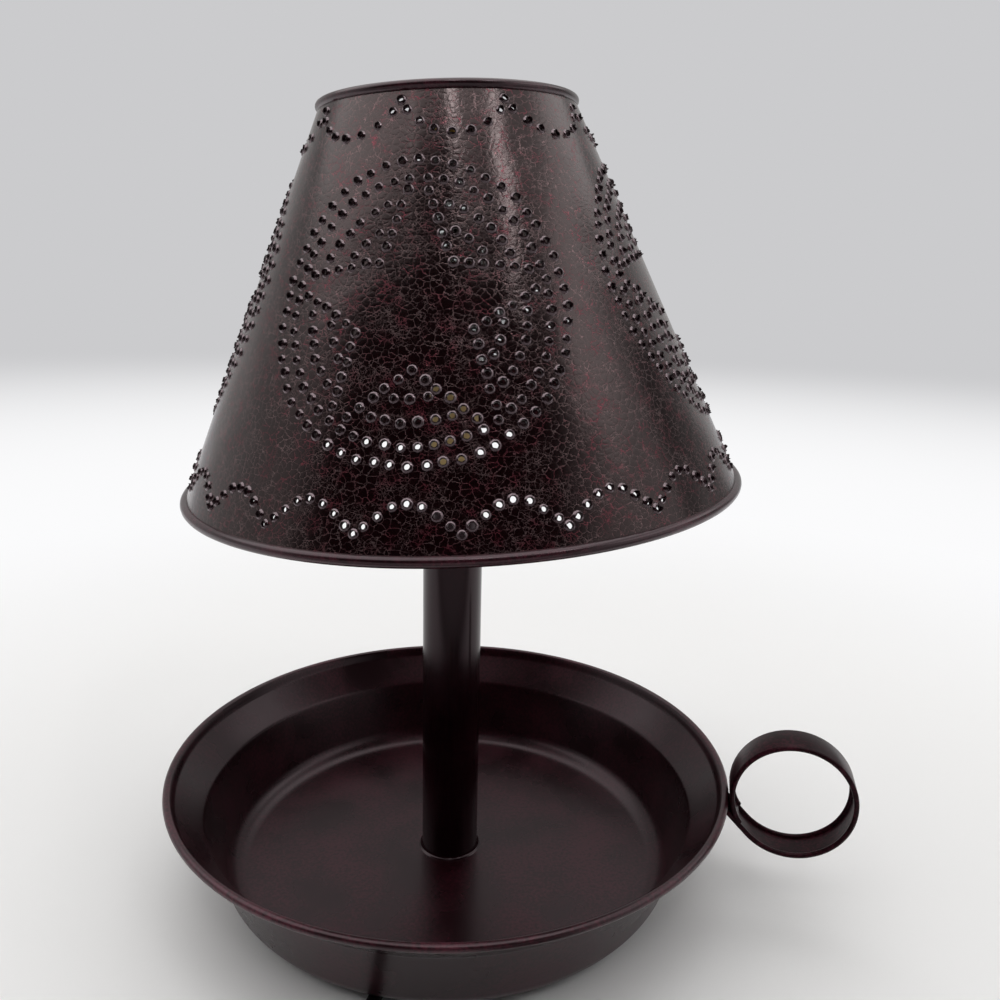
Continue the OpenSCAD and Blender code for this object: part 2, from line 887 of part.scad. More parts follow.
// Thumb wheel with a toothed edge
module switch_wheel() {
    color(black) placed()
        at_switch()
            translate([0, wheel_shift, seam_z - wheel_t / 2])
                difference() {
                    cylinder(d = wheel_d, h = wheel_t);
                    translate([0, 0, -1])
                        cylinder(r = wheel_pin_d / 2 + run, h = wheel_t + 2);
                    for (i = [0:23])
                        rotate(i * 15)
                            translate([wheel_d / 2 + 0.3, 0, -1])
                                cylinder(r = 0.7, h = wheel_t + 2, $fn = 6);
                }
}

run_last = len(run_route) - 1;

// Free cord between switch and coil, turning from flat to on edge
module cord_run() {
    color(black) placed()
        swept_cord(run_route, [for (i = [0:run_last])
            let (way = way_at(run_route, i))
            let (roll = 90 * min(1, i / (run_last - 1)))
            [-way[1] * cos(roll), way[0] * cos(roll), sin(roll)]], 8);
}

half_turns = (coil_turns - 0.5) / 2;
function coil_in(s) = s <= half_turns + 0.25 ? s : coil_turns - s;
function eased(u) = u * u * (3 - 2 * u);
function coil_climb(s) = eased(min(1, max(0, (s - half_turns) / 0.5)));
function coil_point(s) =
    let (r = coil_r - coil_step * coil_in(s))
    [coil_mid[0] + r * cos(-360 * s), coil_mid[1] + r * sin(-360 * s), coil_low_z + coil_layer * coil_climb(s)];
coil_count = round(coil_turns * coil_rings);
coil_loops = [for (i = [0:coil_count]) coil_point(i / coil_rings)];
coil_end = coil_loops[coil_count];
coil_route = concat(
    [[coil_mid[0] + coil_r, run_route[run_last][1], coil_low_z]],
    coil_loops,
    [for (d = [[7, 0], [14, 0.1], [20, 0.45], [26, 0.9], [33, 1]])
        [coil_end[0] - d[0], plug_y, coil_end[2] + (plug_z - coil_end[2]) * d[1]]]
);

// Room between two places on the coil: apart across its thickness or apart in height
function coil_gap(a, b) =
    let (flat = norm([a[0] - b[0], a[1] - b[1]]) - cord_t)
    max(flat, abs(a[2] - b[2]) - cord_w);
coil_least = min([for (i = [0:4:coil_count])
    for (j = [i + coil_rings / 2:coil_count])
        coil_gap(coil_loops[i], coil_loops[j])]);
echo(coil_least_gap = coil_least);

// Coil of the rest of the cord, wound on edge in two layers, with its end run to the plug
module cord_coil() {
    color(black) placed()
        swept_cord(coil_route, [for (p = coil_route) [0, 0, 1]], 6);
}

tie_low = coil_r - coil_step * (half_turns + 0.25) - cord_t / 2 - 0.5;
tie_high = coil_r + cord_t / 2 + 0.5;
tie_top = coil_low_z + coil_layer + cord_w / 2 + 0.5;

// Twist tie round the turns of the coil
module coil_tie() {
    color(black) placed()
        translate([coil_mid[0], coil_mid[1], 0])
            rotate(140)
                translate([tie_low - 0.8, -2, 0])
                    difference() {
                        cube([tie_high - tie_low + 1.6, 4, tie_top + 0.8]);
                        translate([0.8, -1, -1])
                            cube([tie_high - tie_low, 6, tie_top + 1]);
                    }
}

// Moulded plug with a tapered strain relief
module plug_body() {
    color(black) placed()
        translate([plug_x, plug_y, plug_z])
            rotate([0, -90, 0]) {
                difference() {
                    cylinder(r1 = cord_w / 2 + 0.6, r2 = plug_h / 2, h = relief_l);
                    translate([0, 0, -1])
                        cube([cord_w + 0.2, cord_t + 0.2, 8], center = true);
                }
                translate([0, 0, relief_l + plug_l / 2])
                    cube([plug_h, plug_w, plug_l], center = true);
            }
}

// Two flat blades of the plug
module plug_blades() {
    color(brass) placed()
        for (side = [-1, 1])
            translate([plug_x - relief_l - plug_l - blade_l / 2, plug_y + side * 6.35, plug_z])
                cube([blade_l, 1.5, 6.3], center = true);
}

pan();
pan_wire();
feet();
finger_ring();
candle_tube();
tube_cap();
nipple();
lock_nuts();
socket_bracket();
socket_rivet();
socket_body();
screw_shell();
socket_contact();
paper_sleeve();
inner_cord();
cord_clip();
bulb_cap();
bulb_contact();
bulb_glass();
bulb_clip();
clip_stud();
stud_nut();
shade_cone();
shade_low_wire();
shade_top_wire();
shade_spider();
cord_lead();
switch_base();
switch_cover();
switch_pin();
switch_screw();
switch_wheel();
cord_run();
cord_coil();
coil_tie();
plug_body();
plug_blades();
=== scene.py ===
import json
import math
import random
from functools import partial

import bmesh
import bpy
from bpy.props import FloatProperty, FloatVectorProperty, IntProperty, PointerProperty
from bpy.types import Operator, Panel, PropertyGroup
from mathutils import Matrix, Vector
from mathutils.geometry import delaunay_2d_cdt

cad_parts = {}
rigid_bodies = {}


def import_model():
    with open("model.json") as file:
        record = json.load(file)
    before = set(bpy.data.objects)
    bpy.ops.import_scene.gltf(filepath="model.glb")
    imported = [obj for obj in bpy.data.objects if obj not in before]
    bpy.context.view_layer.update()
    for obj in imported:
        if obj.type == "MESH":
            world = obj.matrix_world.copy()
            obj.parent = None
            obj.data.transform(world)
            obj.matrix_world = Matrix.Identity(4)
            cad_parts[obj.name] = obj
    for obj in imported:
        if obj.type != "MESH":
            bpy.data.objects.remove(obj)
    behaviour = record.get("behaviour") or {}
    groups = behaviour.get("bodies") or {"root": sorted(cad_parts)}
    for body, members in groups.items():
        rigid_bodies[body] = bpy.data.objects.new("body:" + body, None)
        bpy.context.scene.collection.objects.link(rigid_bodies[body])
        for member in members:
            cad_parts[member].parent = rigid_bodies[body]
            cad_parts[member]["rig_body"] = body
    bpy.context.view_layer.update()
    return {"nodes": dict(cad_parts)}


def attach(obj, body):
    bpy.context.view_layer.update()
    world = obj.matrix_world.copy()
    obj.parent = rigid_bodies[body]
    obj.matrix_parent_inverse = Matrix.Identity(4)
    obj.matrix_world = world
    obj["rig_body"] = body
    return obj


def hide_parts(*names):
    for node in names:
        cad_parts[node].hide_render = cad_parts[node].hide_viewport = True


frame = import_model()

bl_info = {
    "name": "Punched tin chamberstick lamp",
    "version": (1, 0, 0),
    "blender": (4, 5, 0),
    "location": "View3D > Sidebar > Chamberstick",
    "description": "Dresses the lamp's solids: lacquered tin, punched shade, bulb, cord and switch",
    "category": "Object",
}

MM = 0.001
# The candle tube's axis stands this far from the origin, towards -X
AXIS_X = -21.8
# The shade's seam, in degrees round from +X, between two of the stars
SEAM = 121.5
# The flat sheet's first edge, in degrees from the front, which lies at -Y
SHEET_START = SEAM + 90 - 360
# Where the crooked shade turns, up the tube's axis, and how it leans
PIVOT_Z = 259.8
SHADE_NOD = 1.3
SHADE_TILT = 3.2
# Half the thickness of the shade's sheet
SHEET_HALF = 0.3
# The way the cord takes under the pan, in degrees round from +X
CORD_TURN = -110.5
BACKDROP = "#cbcbcd"


def linear(code):
    """Turns an sRGB hex colour into linear RGBA."""
    parts = [int(code[i:i + 2], 16) / 255 for i in (1, 3, 5)]
    return tuple(c / 12.92 if c <= 0.04045 else ((c + 0.055) / 1.055) ** 2.4 for c in parts) + (1.0,)


def length(name, words, millimetres):
    """A size in metres that a user may change."""
    return FloatProperty(name=name, description=words, default=millimetres * MM, unit="LENGTH", precision=4)


def colour(name, words, code):
    """A colour that a user may change."""
    return FloatVectorProperty(
        name=name, description=words, default=linear(code), size=4, min=0, max=1, subtype="COLOR"
    )


class ChamberstickSizes(PropertyGroup):
    """Sizes of the lamp's dressed pieces."""

    pan_rim: length("Pan rim", "Radius to the middle of the pan's rolled rim", 123.3)
    pan_rim_height: length("Pan rim height", "Height of the middle of the rolled rim", 50.3)
    pan_bead: length("Pan bead", "Radius of the rolled rim", 1.7)
    crease: length("Crease", "Radius of the crease under the flange", 109.5)
    crease_height: length("Crease height", "Height of the crease", 35)
    tube: length("Tube", "Radius of the candle tube", 12.85)
    tube_top: length("Tube top", "Height of the candle tube's upper edge", 177)
    ring: length("Finger ring", "Outside radius of the finger ring", 25.8)
    strip: length("Strip", "Width of the ring's strip", 16)
    shade_low: length("Shade below", "Radius to the middle of the lower rolled edge", 113.5)
    shade_top: length("Shade above", "Radius to the middle of the upper rolled edge", 48.7)
    shade_low_height: length("Shade low edge", "Height of the lower rolled edge", 182.465)
    shade_top_height: length("Shade top edge", "Height of the upper rolled edge", 328.465)
    punch: length("Punch", "Radius of a punched hole", 1.04)
    lip: length("Lip", "Radius of the raised lip round a hole", 2.0)
    lip_height: length("Lip height", "Mean height of the torn lip", 0.9)
    cord_width: length("Cord width", "Width of the flat cord", 5.3)
    cord_thick: length("Cord thickness", "Thickness of the flat cord", 2.7)
    motifs: IntProperty(name="Stars", description="Stars round the shade", default=4, min=1, max=6)
    swags: IntProperty(name="Swags", description="Swags round the upper border", default=9, min=3, max=16)
    arches: IntProperty(name="Arches", description="Arches round the lower border", default=20, min=6, max=40)


class ChamberstickColours(PropertyGroup):
    """Colours of the lamp's finishes."""

    lacquer: colour("Lacquer", "Dark top coat of the tin", "#0f0204")
    undercoat: colour("Undercoat", "Red coat that shows in the cracks", "#7e3f4a")
    faded: colour("Faded", "Undercoat where age has turned it grey", "#806a6b")
    rubbed: colour("Rubbed edge", "Red coat where the rim is rubbed", "#4a1b28")
    paper: colour("Paper sleeve", "Tan paper round the socket", "#b49a68")
    cord: colour("Cord", "Black cord and switch", "#121113")
    floor: colour("Floor", "Pale table", "#e8e8e8")


def sizes():
    return bpy.context.scene.chamberstick_sizes


def colours():
    return bpy.context.scene.chamberstick_colours


def at(x, y, z):
    """A place given in millimetres from the foot of the candle tube's axis."""
    return Vector(((x + AXIS_X) * MM, y * MM, z * MM))


def around(radius, degrees):
    """The two coordinates of a place on a circle."""
    return radius * math.cos(math.radians(degrees)), radius * math.sin(math.radians(degrees))


PIVOT = at(0, 0, PIVOT_Z)
LEAN = Matrix.Rotation(math.radians(-SHADE_TILT), 3, "Y") @ Matrix.Rotation(math.radians(SHADE_NOD), 3, "X")


def on_bulb(p):
    """Where a place on the upright shade lies as the shade sits crooked on the bulb."""
    return PIVOT + LEAN @ (p - PIVOT)


# Helpers for meshes

def linked(name, data):
    """An object for a mesh, a lamp or the camera, put in the scene."""
    piece = bpy.data.objects.new(name, data)
    bpy.context.scene.collection.objects.link(piece)
    return piece


def dress(piece, body, nodes=(), material=None, sharp=None):
    """Gives a piece its finish and shading, says what it rides on, and hides the CAD nodes that it stands
    for.
    """
    mesh = piece.data
    if material:
        mesh.materials.clear()
        mesh.materials.append(material)
        mesh.polygons.foreach_set("use_smooth", [True] * len(mesh.polygons))
    if sharp:
        mesh.set_sharp_from_angle(angle=math.radians(sharp))
    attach(piece, body)
    if nodes:
        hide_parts(*nodes)
    return piece


def make_piece(name, parts, material, body, nodes=(), sharp=None):
    """Joins lists of (points, faces) into one object that rides on a body and stands for CAD nodes."""
    points, faces = [], []
    for part_points, part_faces in parts:
        base = len(points)
        points += [Vector(p) for p in part_points]
        faces += [[base + i for i in f] for f in part_faces]
    mesh = bpy.data.meshes.new(name)
    mesh.from_pydata(points, [], faces)
    mesh.validate()
    return dress(linked(name, mesh), body, nodes, material, sharp)


def spun(profile, segments, place=None, middle=(0, 0), closed=True):
    """Turns a profile of (radius, height) in millimetres round an upright axis."""
    points, faces = [], []
    n = len(profile)
    for k in range(segments):
        a = 2 * math.pi * k / segments
        for r, z in profile:
            p = at(middle[0] + r * math.cos(a), middle[1] + r * math.sin(a), z)
            points.append(place(p) if place else p)
    for k in range(segments):
        m = (k + 1) % segments
        for i in range(n if closed else n - 1):
            j = (i + 1) % n
            faces.append([k * n + i, m * n + i, m * n + j, k * n + j])
    return points, faces


def circle_profile(r, z, radius, count):
    """A round wire's profile, listed so that a spun wire's faces point outwards."""
    return [
        (r + radius * math.cos(2 * math.pi * i / count), z + radius * math.sin(2 * math.pi * i / count))
        for i in range(count)
    ]


def sheet_profile(middle, thick):
    """A closed profile of a sheet whose middle line is given from the axis outwards."""
    upper, lower = [], []
    for i, p in enumerate(middle):
        a = Vector(middle[max(0, i - 1)])
        b = Vector(middle[min(len(middle) - 1, i + 1)])
        way = (b - a).normalized()
        side = Vector((-way.y, way.x)) * thick / 2
        upper.append(tuple(Vector(p) + side))
        lower.append(tuple(Vector(p) - side))
    return lower + upper[::-1]


def arc(centre, radius, start, end, count):
    """Points of an arc in a profile, angles in degrees."""
    turns = [math.radians(start + (end - start) * i / count) for i in range(count + 1)]
    return [(centre[0] + radius * math.cos(t), centre[1] + radius * math.sin(t)) for t in turns]


def swept(points, across, outline, closed=False):
    """A tube of an outline of (across, through) pairs along points."""
    rows, faces = [], []
    n, count = len(outline), len(points)
    for i, p in enumerate(points):
        before = points[i - 1] if i or closed else points[i]
        after = points[(i + 1) % count] if i < count - 1 or closed else points[i]
        way = (after - before).normalized()
        side = (across[i] - way * across[i].dot(way)).normalized()
        through = way.cross(side)
        rows += [p + side * a + through * b for a, b in outline]
    for i in range(count if closed else count - 1):
        m = (i + 1) % count
        for k in range(n):
            j = (k + 1) % n
            faces.append([i * n + k, i * n + j, m * n + j, m * n + k])
    if not closed:
        faces.append(list(range(n))[::-1])
        faces.append([(count - 1) * n + k for k in range(n)])
    return rows, faces


def smooth_route(points, step):
    """A smooth line through route points, with a point about every step."""
    out = []
    for i in range(len(points) - 1):
        p0, p1 = points[max(0, i - 1)], points[i]
        p2, p3 = points[i + 1], points[min(len(points) - 1, i + 2)]
        count = max(1, round((p2 - p1).length / step))
        for k in range(count):
            t = k / count
            out.append(
                0.5 * (2 * p1 + (p2 - p0) * t + (2 * p0 - 5 * p1 + 4 * p2 - p3) * t ** 2
                       + (3 * p1 - p0 - 3 * p2 + p3) * t ** 3)
            )
    out.append(points[-1].copy())
    return out


def softened(node, name, edge, material):
    """A copy of a rigid CAD node with its corners eased, which stands for the node."""
    source = frame["nodes"][node]
    mesh = source.data.copy()
    mesh.name = name
    bm = bmesh.new()
    bm.from_mesh(mesh)
    bmesh.ops.remove_doubles(bm, verts=bm.verts, dist=1e-6)
    bmesh.ops.dissolve_limit(bm, angle_limit=math.radians(1), verts=bm.verts, edges=bm.edges)
    corners = [e for e in bm.edges if len(e.link_faces) == 2 and e.calc_face_angle(0) > math.radians(35)]
    bmesh.ops.bevel(
        bm, geom=corners, offset=edge * MM, segments=2, profile=0.5, affect="EDGES", clamp_overlap=True
    )
    bm.to_mesh(mesh)
    bm.free()
    dress(linked(name, mesh), source["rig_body"], [node], material, 40)


def paint(material, *nodes):
    """Gives CAD nodes that stay in the picture their finish."""
    for node in nodes:
        mesh = frame["nodes"][node].data
        mesh.materials.clear()
        mesh.materials.append(material)


# Materials

NOISE, CELLS, RANGE = "ShaderNodeTexNoise", "ShaderNodeTexVoronoi", "ShaderNodeMapRange"
MATH, VECTOR, MIX, BUMP = "ShaderNodeMath", "ShaderNodeVectorMath", "ShaderNodeMix", "ShaderNodeBump"
SPLIT, SHADER, SURFACE = "ShaderNodeSeparateXYZ", "ShaderNodeBsdfPrincipled", "ShaderNodeOutputMaterial"
SMOOTH = {"interpolation_type": "SMOOTHSTEP"}
COLOUR = {"data_type": "RGBA"}
HALF = (0.5, 0.5, 0.5)


def add(tree, kind, inputs=None, **settings):
    """Adds a node with its settings. An input is a value, or the socket or node that it is linked to, or a
    list of such. A node stands for its first live output."""
    node = tree.nodes.new(kind)
    for name, value in settings.items():
        setattr(node, name, value)
    for socket, given in (inputs or {}).items():
        for value in given if isinstance(given, list) else [given]:
            if isinstance(value, bpy.types.Node):
                value = next(output for output in value.outputs if output.enabled)
            if isinstance(value, bpy.types.NodeSocket):
                tree.links.new(value, node.inputs[socket])
            else:
                node.inputs[socket].default_value = value
    return node


def new_material(name):
    """An empty material and where its patterns are read, or the finished one if it is there already."""
    if name in bpy.data.materials:
        return bpy.data.materials[name], None, None
    material = bpy.data.materials.new(name)
    material.use_nodes = True
    tree = material.node_tree
    tree.nodes.clear()
    put = partial(add, tree)
    return material, put, put("ShaderNodeTexCoord").outputs["Object"]


def crackle_lacquer():
    """Crackle lacquer on the shade: a nearly black, glossy top coat whose fine cracks let a dull red
    undercoat show. The eye sees a net of thin rosy veins, pale where the sheet mirrors light and dim
    elsewhere."""
    material, put, place = new_material("crackle_lacquer_on_tin")
    if put is None:
        return material
    tone = colours()
    # Cells are about 2.8 mm wide, a little wider than tall, and in patches split again by finer ones of
    # 1.5 mm. The cracks are about 0.15 mm wide and wander by up to 0.4 mm
    squat = put("ShaderNodeMapping", {"Vector": place, "Scale": (1, 1, 1.2)})
    bend = put(NOISE, {"Vector": squat, "Scale": 1 / (1.0 * MM), "Detail": 2.5})
    away = put(VECTOR, {0: bend.outputs["Color"], 1: HALF}, operation="SUBTRACT")
    shift = put(VECTOR, {0: away, "Scale": 1.7 * MM}, operation="SCALE")
    bent = put(VECTOR, {0: squat, 1: shift}, operation="ADD")
    large, small = (
        put(CELLS, {"Vector": bent, "Scale": 1 / (cell * MM)}, feature="DISTANCE_TO_EDGE")
        for cell in (2.8, 1.5)
    )
    wide = put(RANGE, {"Value": large, 1: 0.009, 2: 0.039, 3: 0.95, 4: 0.0}, **SMOOTH)
    thin = put(RANGE, {"Value": small, 1: 0.01, 2: 0.052, 3: 0.5, 4: 0.0}, **SMOOTH)
    # Patches of finer cells about 9 mm across, stretches of 3 mm where the cracks are wide open or nearly
    # shut, stretches of 6 mm that are still red where the rest has gone grey, and slow waves about 30 mm long
    # that rolling and punching leave in the sheet, which bend what it mirrors
    field, patch, age, wave = (
        put(NOISE, {"Vector": place, "Scale": 1 / (size * MM), "Detail": detail})
        for size, detail in ((9, 1.0), (3, 2.0), (6, 1.0), (30, 1.0))
    )
    finer = put(RANGE, {"Value": field, 1: 0.45, 2: 0.58})
    thin = put(MATH, {0: thin, 1: finer}, operation="MULTIPLY")
    strong = put(RANGE, {"Value": patch, 1: 0.36, 2: 0.62, 3: 0.15, 4: 1.0})
    both = put(MATH, {0: wide, 1: thin}, operation="MAXIMUM")
    vein = put(MATH, {0: both, 1: strong}, operation="MULTIPLY")
    fresh = put(RANGE, {"Value": age, 1: 0.46, 2: 0.66})
    coat = put(MIX, {0: fresh, 6: tone.faded[:], 7: tone.undercoat[:]}, **COLOUR)
    tint = put(MIX, {0: vein, 6: tone.lacquer[:], 7: coat}, **COLOUR)
    rough = put(RANGE, {"Value": vein, 3: 0.14, 4: 0.2})
    # The undercoat has a metal sheen, so that the net is pale where the sheet mirrors light and dim elsewhere
    sheen = put(MATH, {0: vein, 1: 0.93}, operation="MULTIPLY")
    # Cracks stand a little proud, each cell is a very low cushion, and the waves are the deepest
    cushion = put(RANGE, {"Value": large, 1: 0.0, 2: 0.3}, **SMOOTH)
    bump = put(BUMP, {"Strength": 0.3, "Distance": 0.06 * MM, "Height": vein})
    for height, strength, deep in ((cushion, 1.0, 0.016), (wave, 0.5, 1.2)):
        bump = put(BUMP, {"Strength": strength, "Distance": deep * MM, "Height": height, "Normal": bump})
    shader = put(SHADER, {
        "Base Color": tint, "Metallic": sheen, "Roughness": rough, "Normal": bump, "IOR": 1.5,
        "Specular IOR Level": 0.62, "Specular Tint": linear("#ffe7e7"),
    })
    put(SURFACE, {"Surface": shader})
    return material


# The smooth lacquers: how far each is rubbed red, how dull it is, how strongly it mirrors, and its index
LACQUERS = {
    # On the pan: a deep burgundy that mirrors the shade softly
    "smooth_lacquer_on_tin": (0.42, 0.28, 0.42, 1.5),
    # On the tube: the darkest, rubbed little and partly painted shade from the lampshade above it, and glossy
    # enough to mirror the pan below and the table beyond
    "lacquer_on_tube": (0.15, 0.17, 0.4, 1.5),
    # On the finger ring, which hands have worn to a dull dark red, and which is made redder still by a
    # painted red reflection
    "handled_lacquer_on_ring": (0.6, 0.32, 0.12, 1.5),
    # On the pan's rolled rim, which hands and dusting have rubbed the reddest
    "rubbed_lacquer_on_rim": (0.8, 0.32, 0.55, 1.5),
    # On the shade's rolled edges, where handling has rubbed it redder and duller
    "worn_lacquer_on_rolled_edge": (0.5, 0.24, 0.7, 1.5),
    # On the ragged crowns of the punched holes: broken, black and dull
    "broken_lacquer_on_torn_edge": (0.1, 0.35, 0.3, 1.5),
    # On the round shoulders of the punched holes: stretched thin, nearly black, with bright glints
    "lacquered_torn_tin": (0.1, 0.16, 1.0, 1.75),
}


def tin_lacquer(name):
    """The dark lacquer where it lies smooth: glossy and nearly even, with flecks and clouds rubbed to red."""
    material, put, place = new_material(name)
    if put is None:
        return material
    wear, gloss, mirror, index = LACQUERS[name]
    tone = colours()
    # Clouds about 30 mm across, flecks of 1.4 mm, and a fine orange peel of 1 mm
    cloud, fleck, peel = (
        put(NOISE, {"Vector": place, "Scale": 1 / (size * MM), "Detail": detail})
        for size, detail in ((30, 3.0), (1.4, 3.0), (1.0, 1.0))
    )
    mixed = put(MATH, {0: cloud, 1: fleck}, operation="MULTIPLY")
    worn = put(RANGE, {"Value": mixed, 1: 0.2, 2: 0.36, 3: 0.1 * wear, 4: wear})
    tint = put(MIX, {0: worn, 6: tone.lacquer[:], 7: tone.rubbed[:]}, **COLOUR)
    rough = put(RANGE, {"Value": cloud, 1: 0.3, 2: 0.7, 3: gloss * 0.85, 4: gloss * 1.2})
    bump = put(BUMP, {"Strength": 0.06, "Distance": 0.03 * MM, "Height": peel})
    # It tints what it mirrors a little red
    shader = put(SHADER, {
        "Base Color": tint, "Roughness": rough, "Normal": bump, "IOR": index, "Specular IOR Level": mirror,
        "Specular Tint": linear("#ffe6ee"),
    })
    put(SURFACE, {"Surface": shader})
    return material


# Finishes of one colour: the colour or the property that holds it, roughness, metal or not, the grain's size
# in mm, how far the grain changes the tone, and its depth in mm
PLAIN = {
    # Bright zinc plate on wire and pressings: a grey metal with a soft, slightly uneven gloss
    "zinc_plated_steel": ("#a7a8aa", 0.34, 1.0, 0.5, 0.12, 0.02),
    # Thin pressed brass, drawn and left bare: a yellow metal gone a little dull
    "drawn_brass": ("#b3924c", 0.3, 1.0, 0.7, 0.15, 0.02),
    # Moulded phenolic of the socket: nearly black and matt, with a fine speckle
    "moulded_phenolic": ("#1c1918", 0.5, 0.0, 0.4, 0.3, 0.02),
    # Wound paper sleeve: tan, matt and faintly fibrous
    "wound_paper": ("paper", 0.8, 0.0, 0.35, 0.18, 0.04),
    # Extruded vinyl: black, with the dull shine of a lamp cord
    "extruded_vinyl": ("cord", 0.42, 0.0, 0.5, 0.3, 0.02),
    # Moulded thermoplastic of switch and plug: black, a little glossier than the cord, with the grain of a
    # spark-eroded mould
    "moulded_thermoplastic": ("cord", 0.36, 0.0, 0.45, 0.35, 0.03),
    # Pressed wool felt: black, with no shine and a coarse nap
    "pressed_felt": ("#1b1a1c", 0.95, 0.0, 0.5, 0.5, 0.25),
}


def plain_finish(name):
    """A finish of one colour with a fine grain in its tone, gloss and surface."""
    material, put, place = new_material(name)
    if put is None:
        return material
    code, roughness, metallic, grain, spread, depth = PLAIN[name]
    base = linear(code) if code.startswith("#") else getattr(colours(), code)[:]
    dark, light = (
        tuple(min(1.0, c * share) for c in base[:3]) + (1.0,) for share in (1 - spread, 1 + spread)
    )
    fine = put(NOISE, {"Vector": place, "Scale": 1 / (grain * MM), "Detail": 3.0})
    tint = put(MIX, {0: fine, 6: dark, 7: light}, **COLOUR)
    dullest = min(1.0, roughness * 1.15)
    rough = put(RANGE, {"Value": fine, 1: 0.3, 2: 0.7, 3: roughness * 0.85, 4: dullest})
    bump = put(BUMP, {"Strength": 0.3, "Distance": depth * MM, "Height": fine})
    shader = put(SHADER, {"Base Color": tint, "Metallic": metallic, "Roughness": rough, "Normal": bump})
    put(SURFACE, {"Surface": shader})
    return material


def clear_glass():
    """Blown glass of the bulb: clear, so that only its edges and its shine show."""
    material, put, place = new_material("clear_blown_glass")
    if put is None:
        return material
    # A slow ripple of 20 mm, as blown glass has
    ripple = put(NOISE, {"Vector": place, "Scale": 1 / (20 * MM), "Detail": 1.0})
    bump = put(BUMP, {"Strength": 0.05, "Distance": 0.2 * MM, "Height": ripple})
    shader = put(SHADER, {
        "Base Color": linear("#f4f7f6"), "Roughness": 0.02, "IOR": 1.46, "Transmission Weight": 1.0,
        "Normal": bump,
    })
    put(SURFACE, {"Surface": shader})
    return material


def pale_table():
    """The table top: pale and matt, fading into the backdrop in the distance."""
    material, put, place = new_material("pale_table")
    if put is None:
        return material
    far = put(VECTOR, {0: place}, operation="LENGTH")
    away = put(RANGE, {"Value": far, 1: 0.25, 2: 0.7}, **SMOOTH)
    back = put(RANGE, {"Value": far, 1: 0.6, 2: 3.2}, interpolation_type="SMOOTHERSTEP")
    tint = put(MIX, {0: back, 6: linear("#fbfbfc"), 7: linear(BACKDROP)}, **COLOUR)
    # The table lies in shade before the pan and less so farther out, which only mirror images show
    path = put("ShaderNodeLightPath").outputs
    front = put(SPLIT, {0: place}).outputs["Y"]
    shade = put(RANGE, {"Value": front, 1: -0.13, 2: -0.26}, **SMOOTH)
    shade = put(MATH, {0: shade, 1: path["Is Glossy Ray"]}, operation="MULTIPLY")
    farther = put(RANGE, {"Value": front, 1: -0.2, 2: -0.34}, **SMOOTH)
    mirrored = put(MIX, {0: farther, 6: linear("#2a2828"), 7: linear("#a8a6a6")}, **COLOUR)
    tint = put(MIX, {0: shade, 6: tint, 7: mirrored}, **COLOUR)
    seen = put(MATH, {0: path["Is Camera Ray"], 1: path["Is Glossy Ray"]}, operation="MAXIMUM")
    share = put(MATH, {0: seen, 1: away}, operation="MULTIPLY")
    share = put(MATH, {0: share, 1: shade}, operation="MAXIMUM")
    board = put(SHADER, {"Base Color": colours().floor[:], "Roughness": 0.6})
    glow = put("ShaderNodeEmission", {"Color": tint, "Strength": 1.0})
    mix = put("ShaderNodeMixShader", {0: share, 1: board, 2: glow})
    put(SURFACE, {"Surface": mix})
    return material


# Geometry Nodes for what repeats

def node_group(name, inputs):
    """A tree with a geometry in and out and named inputs for its sizes, and what it is given."""
    tree = bpy.data.node_groups.new(name, "GeometryNodeTree")
    tree.interface.new_socket(name="Geometry", in_out="OUTPUT", socket_type="NodeSocketGeometry")
    for title, kind in (("Geometry", "Geometry"),) + inputs:
        tree.interface.new_socket(name=title, in_out="INPUT", socket_type="NodeSocket" + kind)
    put = partial(add, tree)
    return tree, put, put("NodeGroupInput").outputs


def made_by(tree, name, points, values, out=None):
    """Runs a tree on loose points and gives its result as an object with a plain mesh."""
    mesh = bpy.data.meshes.new(name)
    mesh.from_pydata(points, [], [])
    if out:
        ways = mesh.attributes.new("out", "FLOAT_VECTOR", "POINT")
        ways.data.foreach_set("vector", [c for way in out for c in way])
    piece = linked(name, mesh)
    modifier = piece.modifiers.new("made", "NODES")
    modifier.node_group = tree
    for socket in tree.interface.items_tree:
        if socket.in_out == "INPUT" and socket.name in values:
            modifier[socket.identifier] = values[socket.name]
    graph = bpy.context.evaluated_depsgraph_get()
    result = bpy.data.meshes.new_from_object(
        piece.evaluated_get(graph), preserve_all_data_layers=False, depsgraph=graph
    )
    piece.modifiers.remove(modifier)
    piece.data = result
    return piece


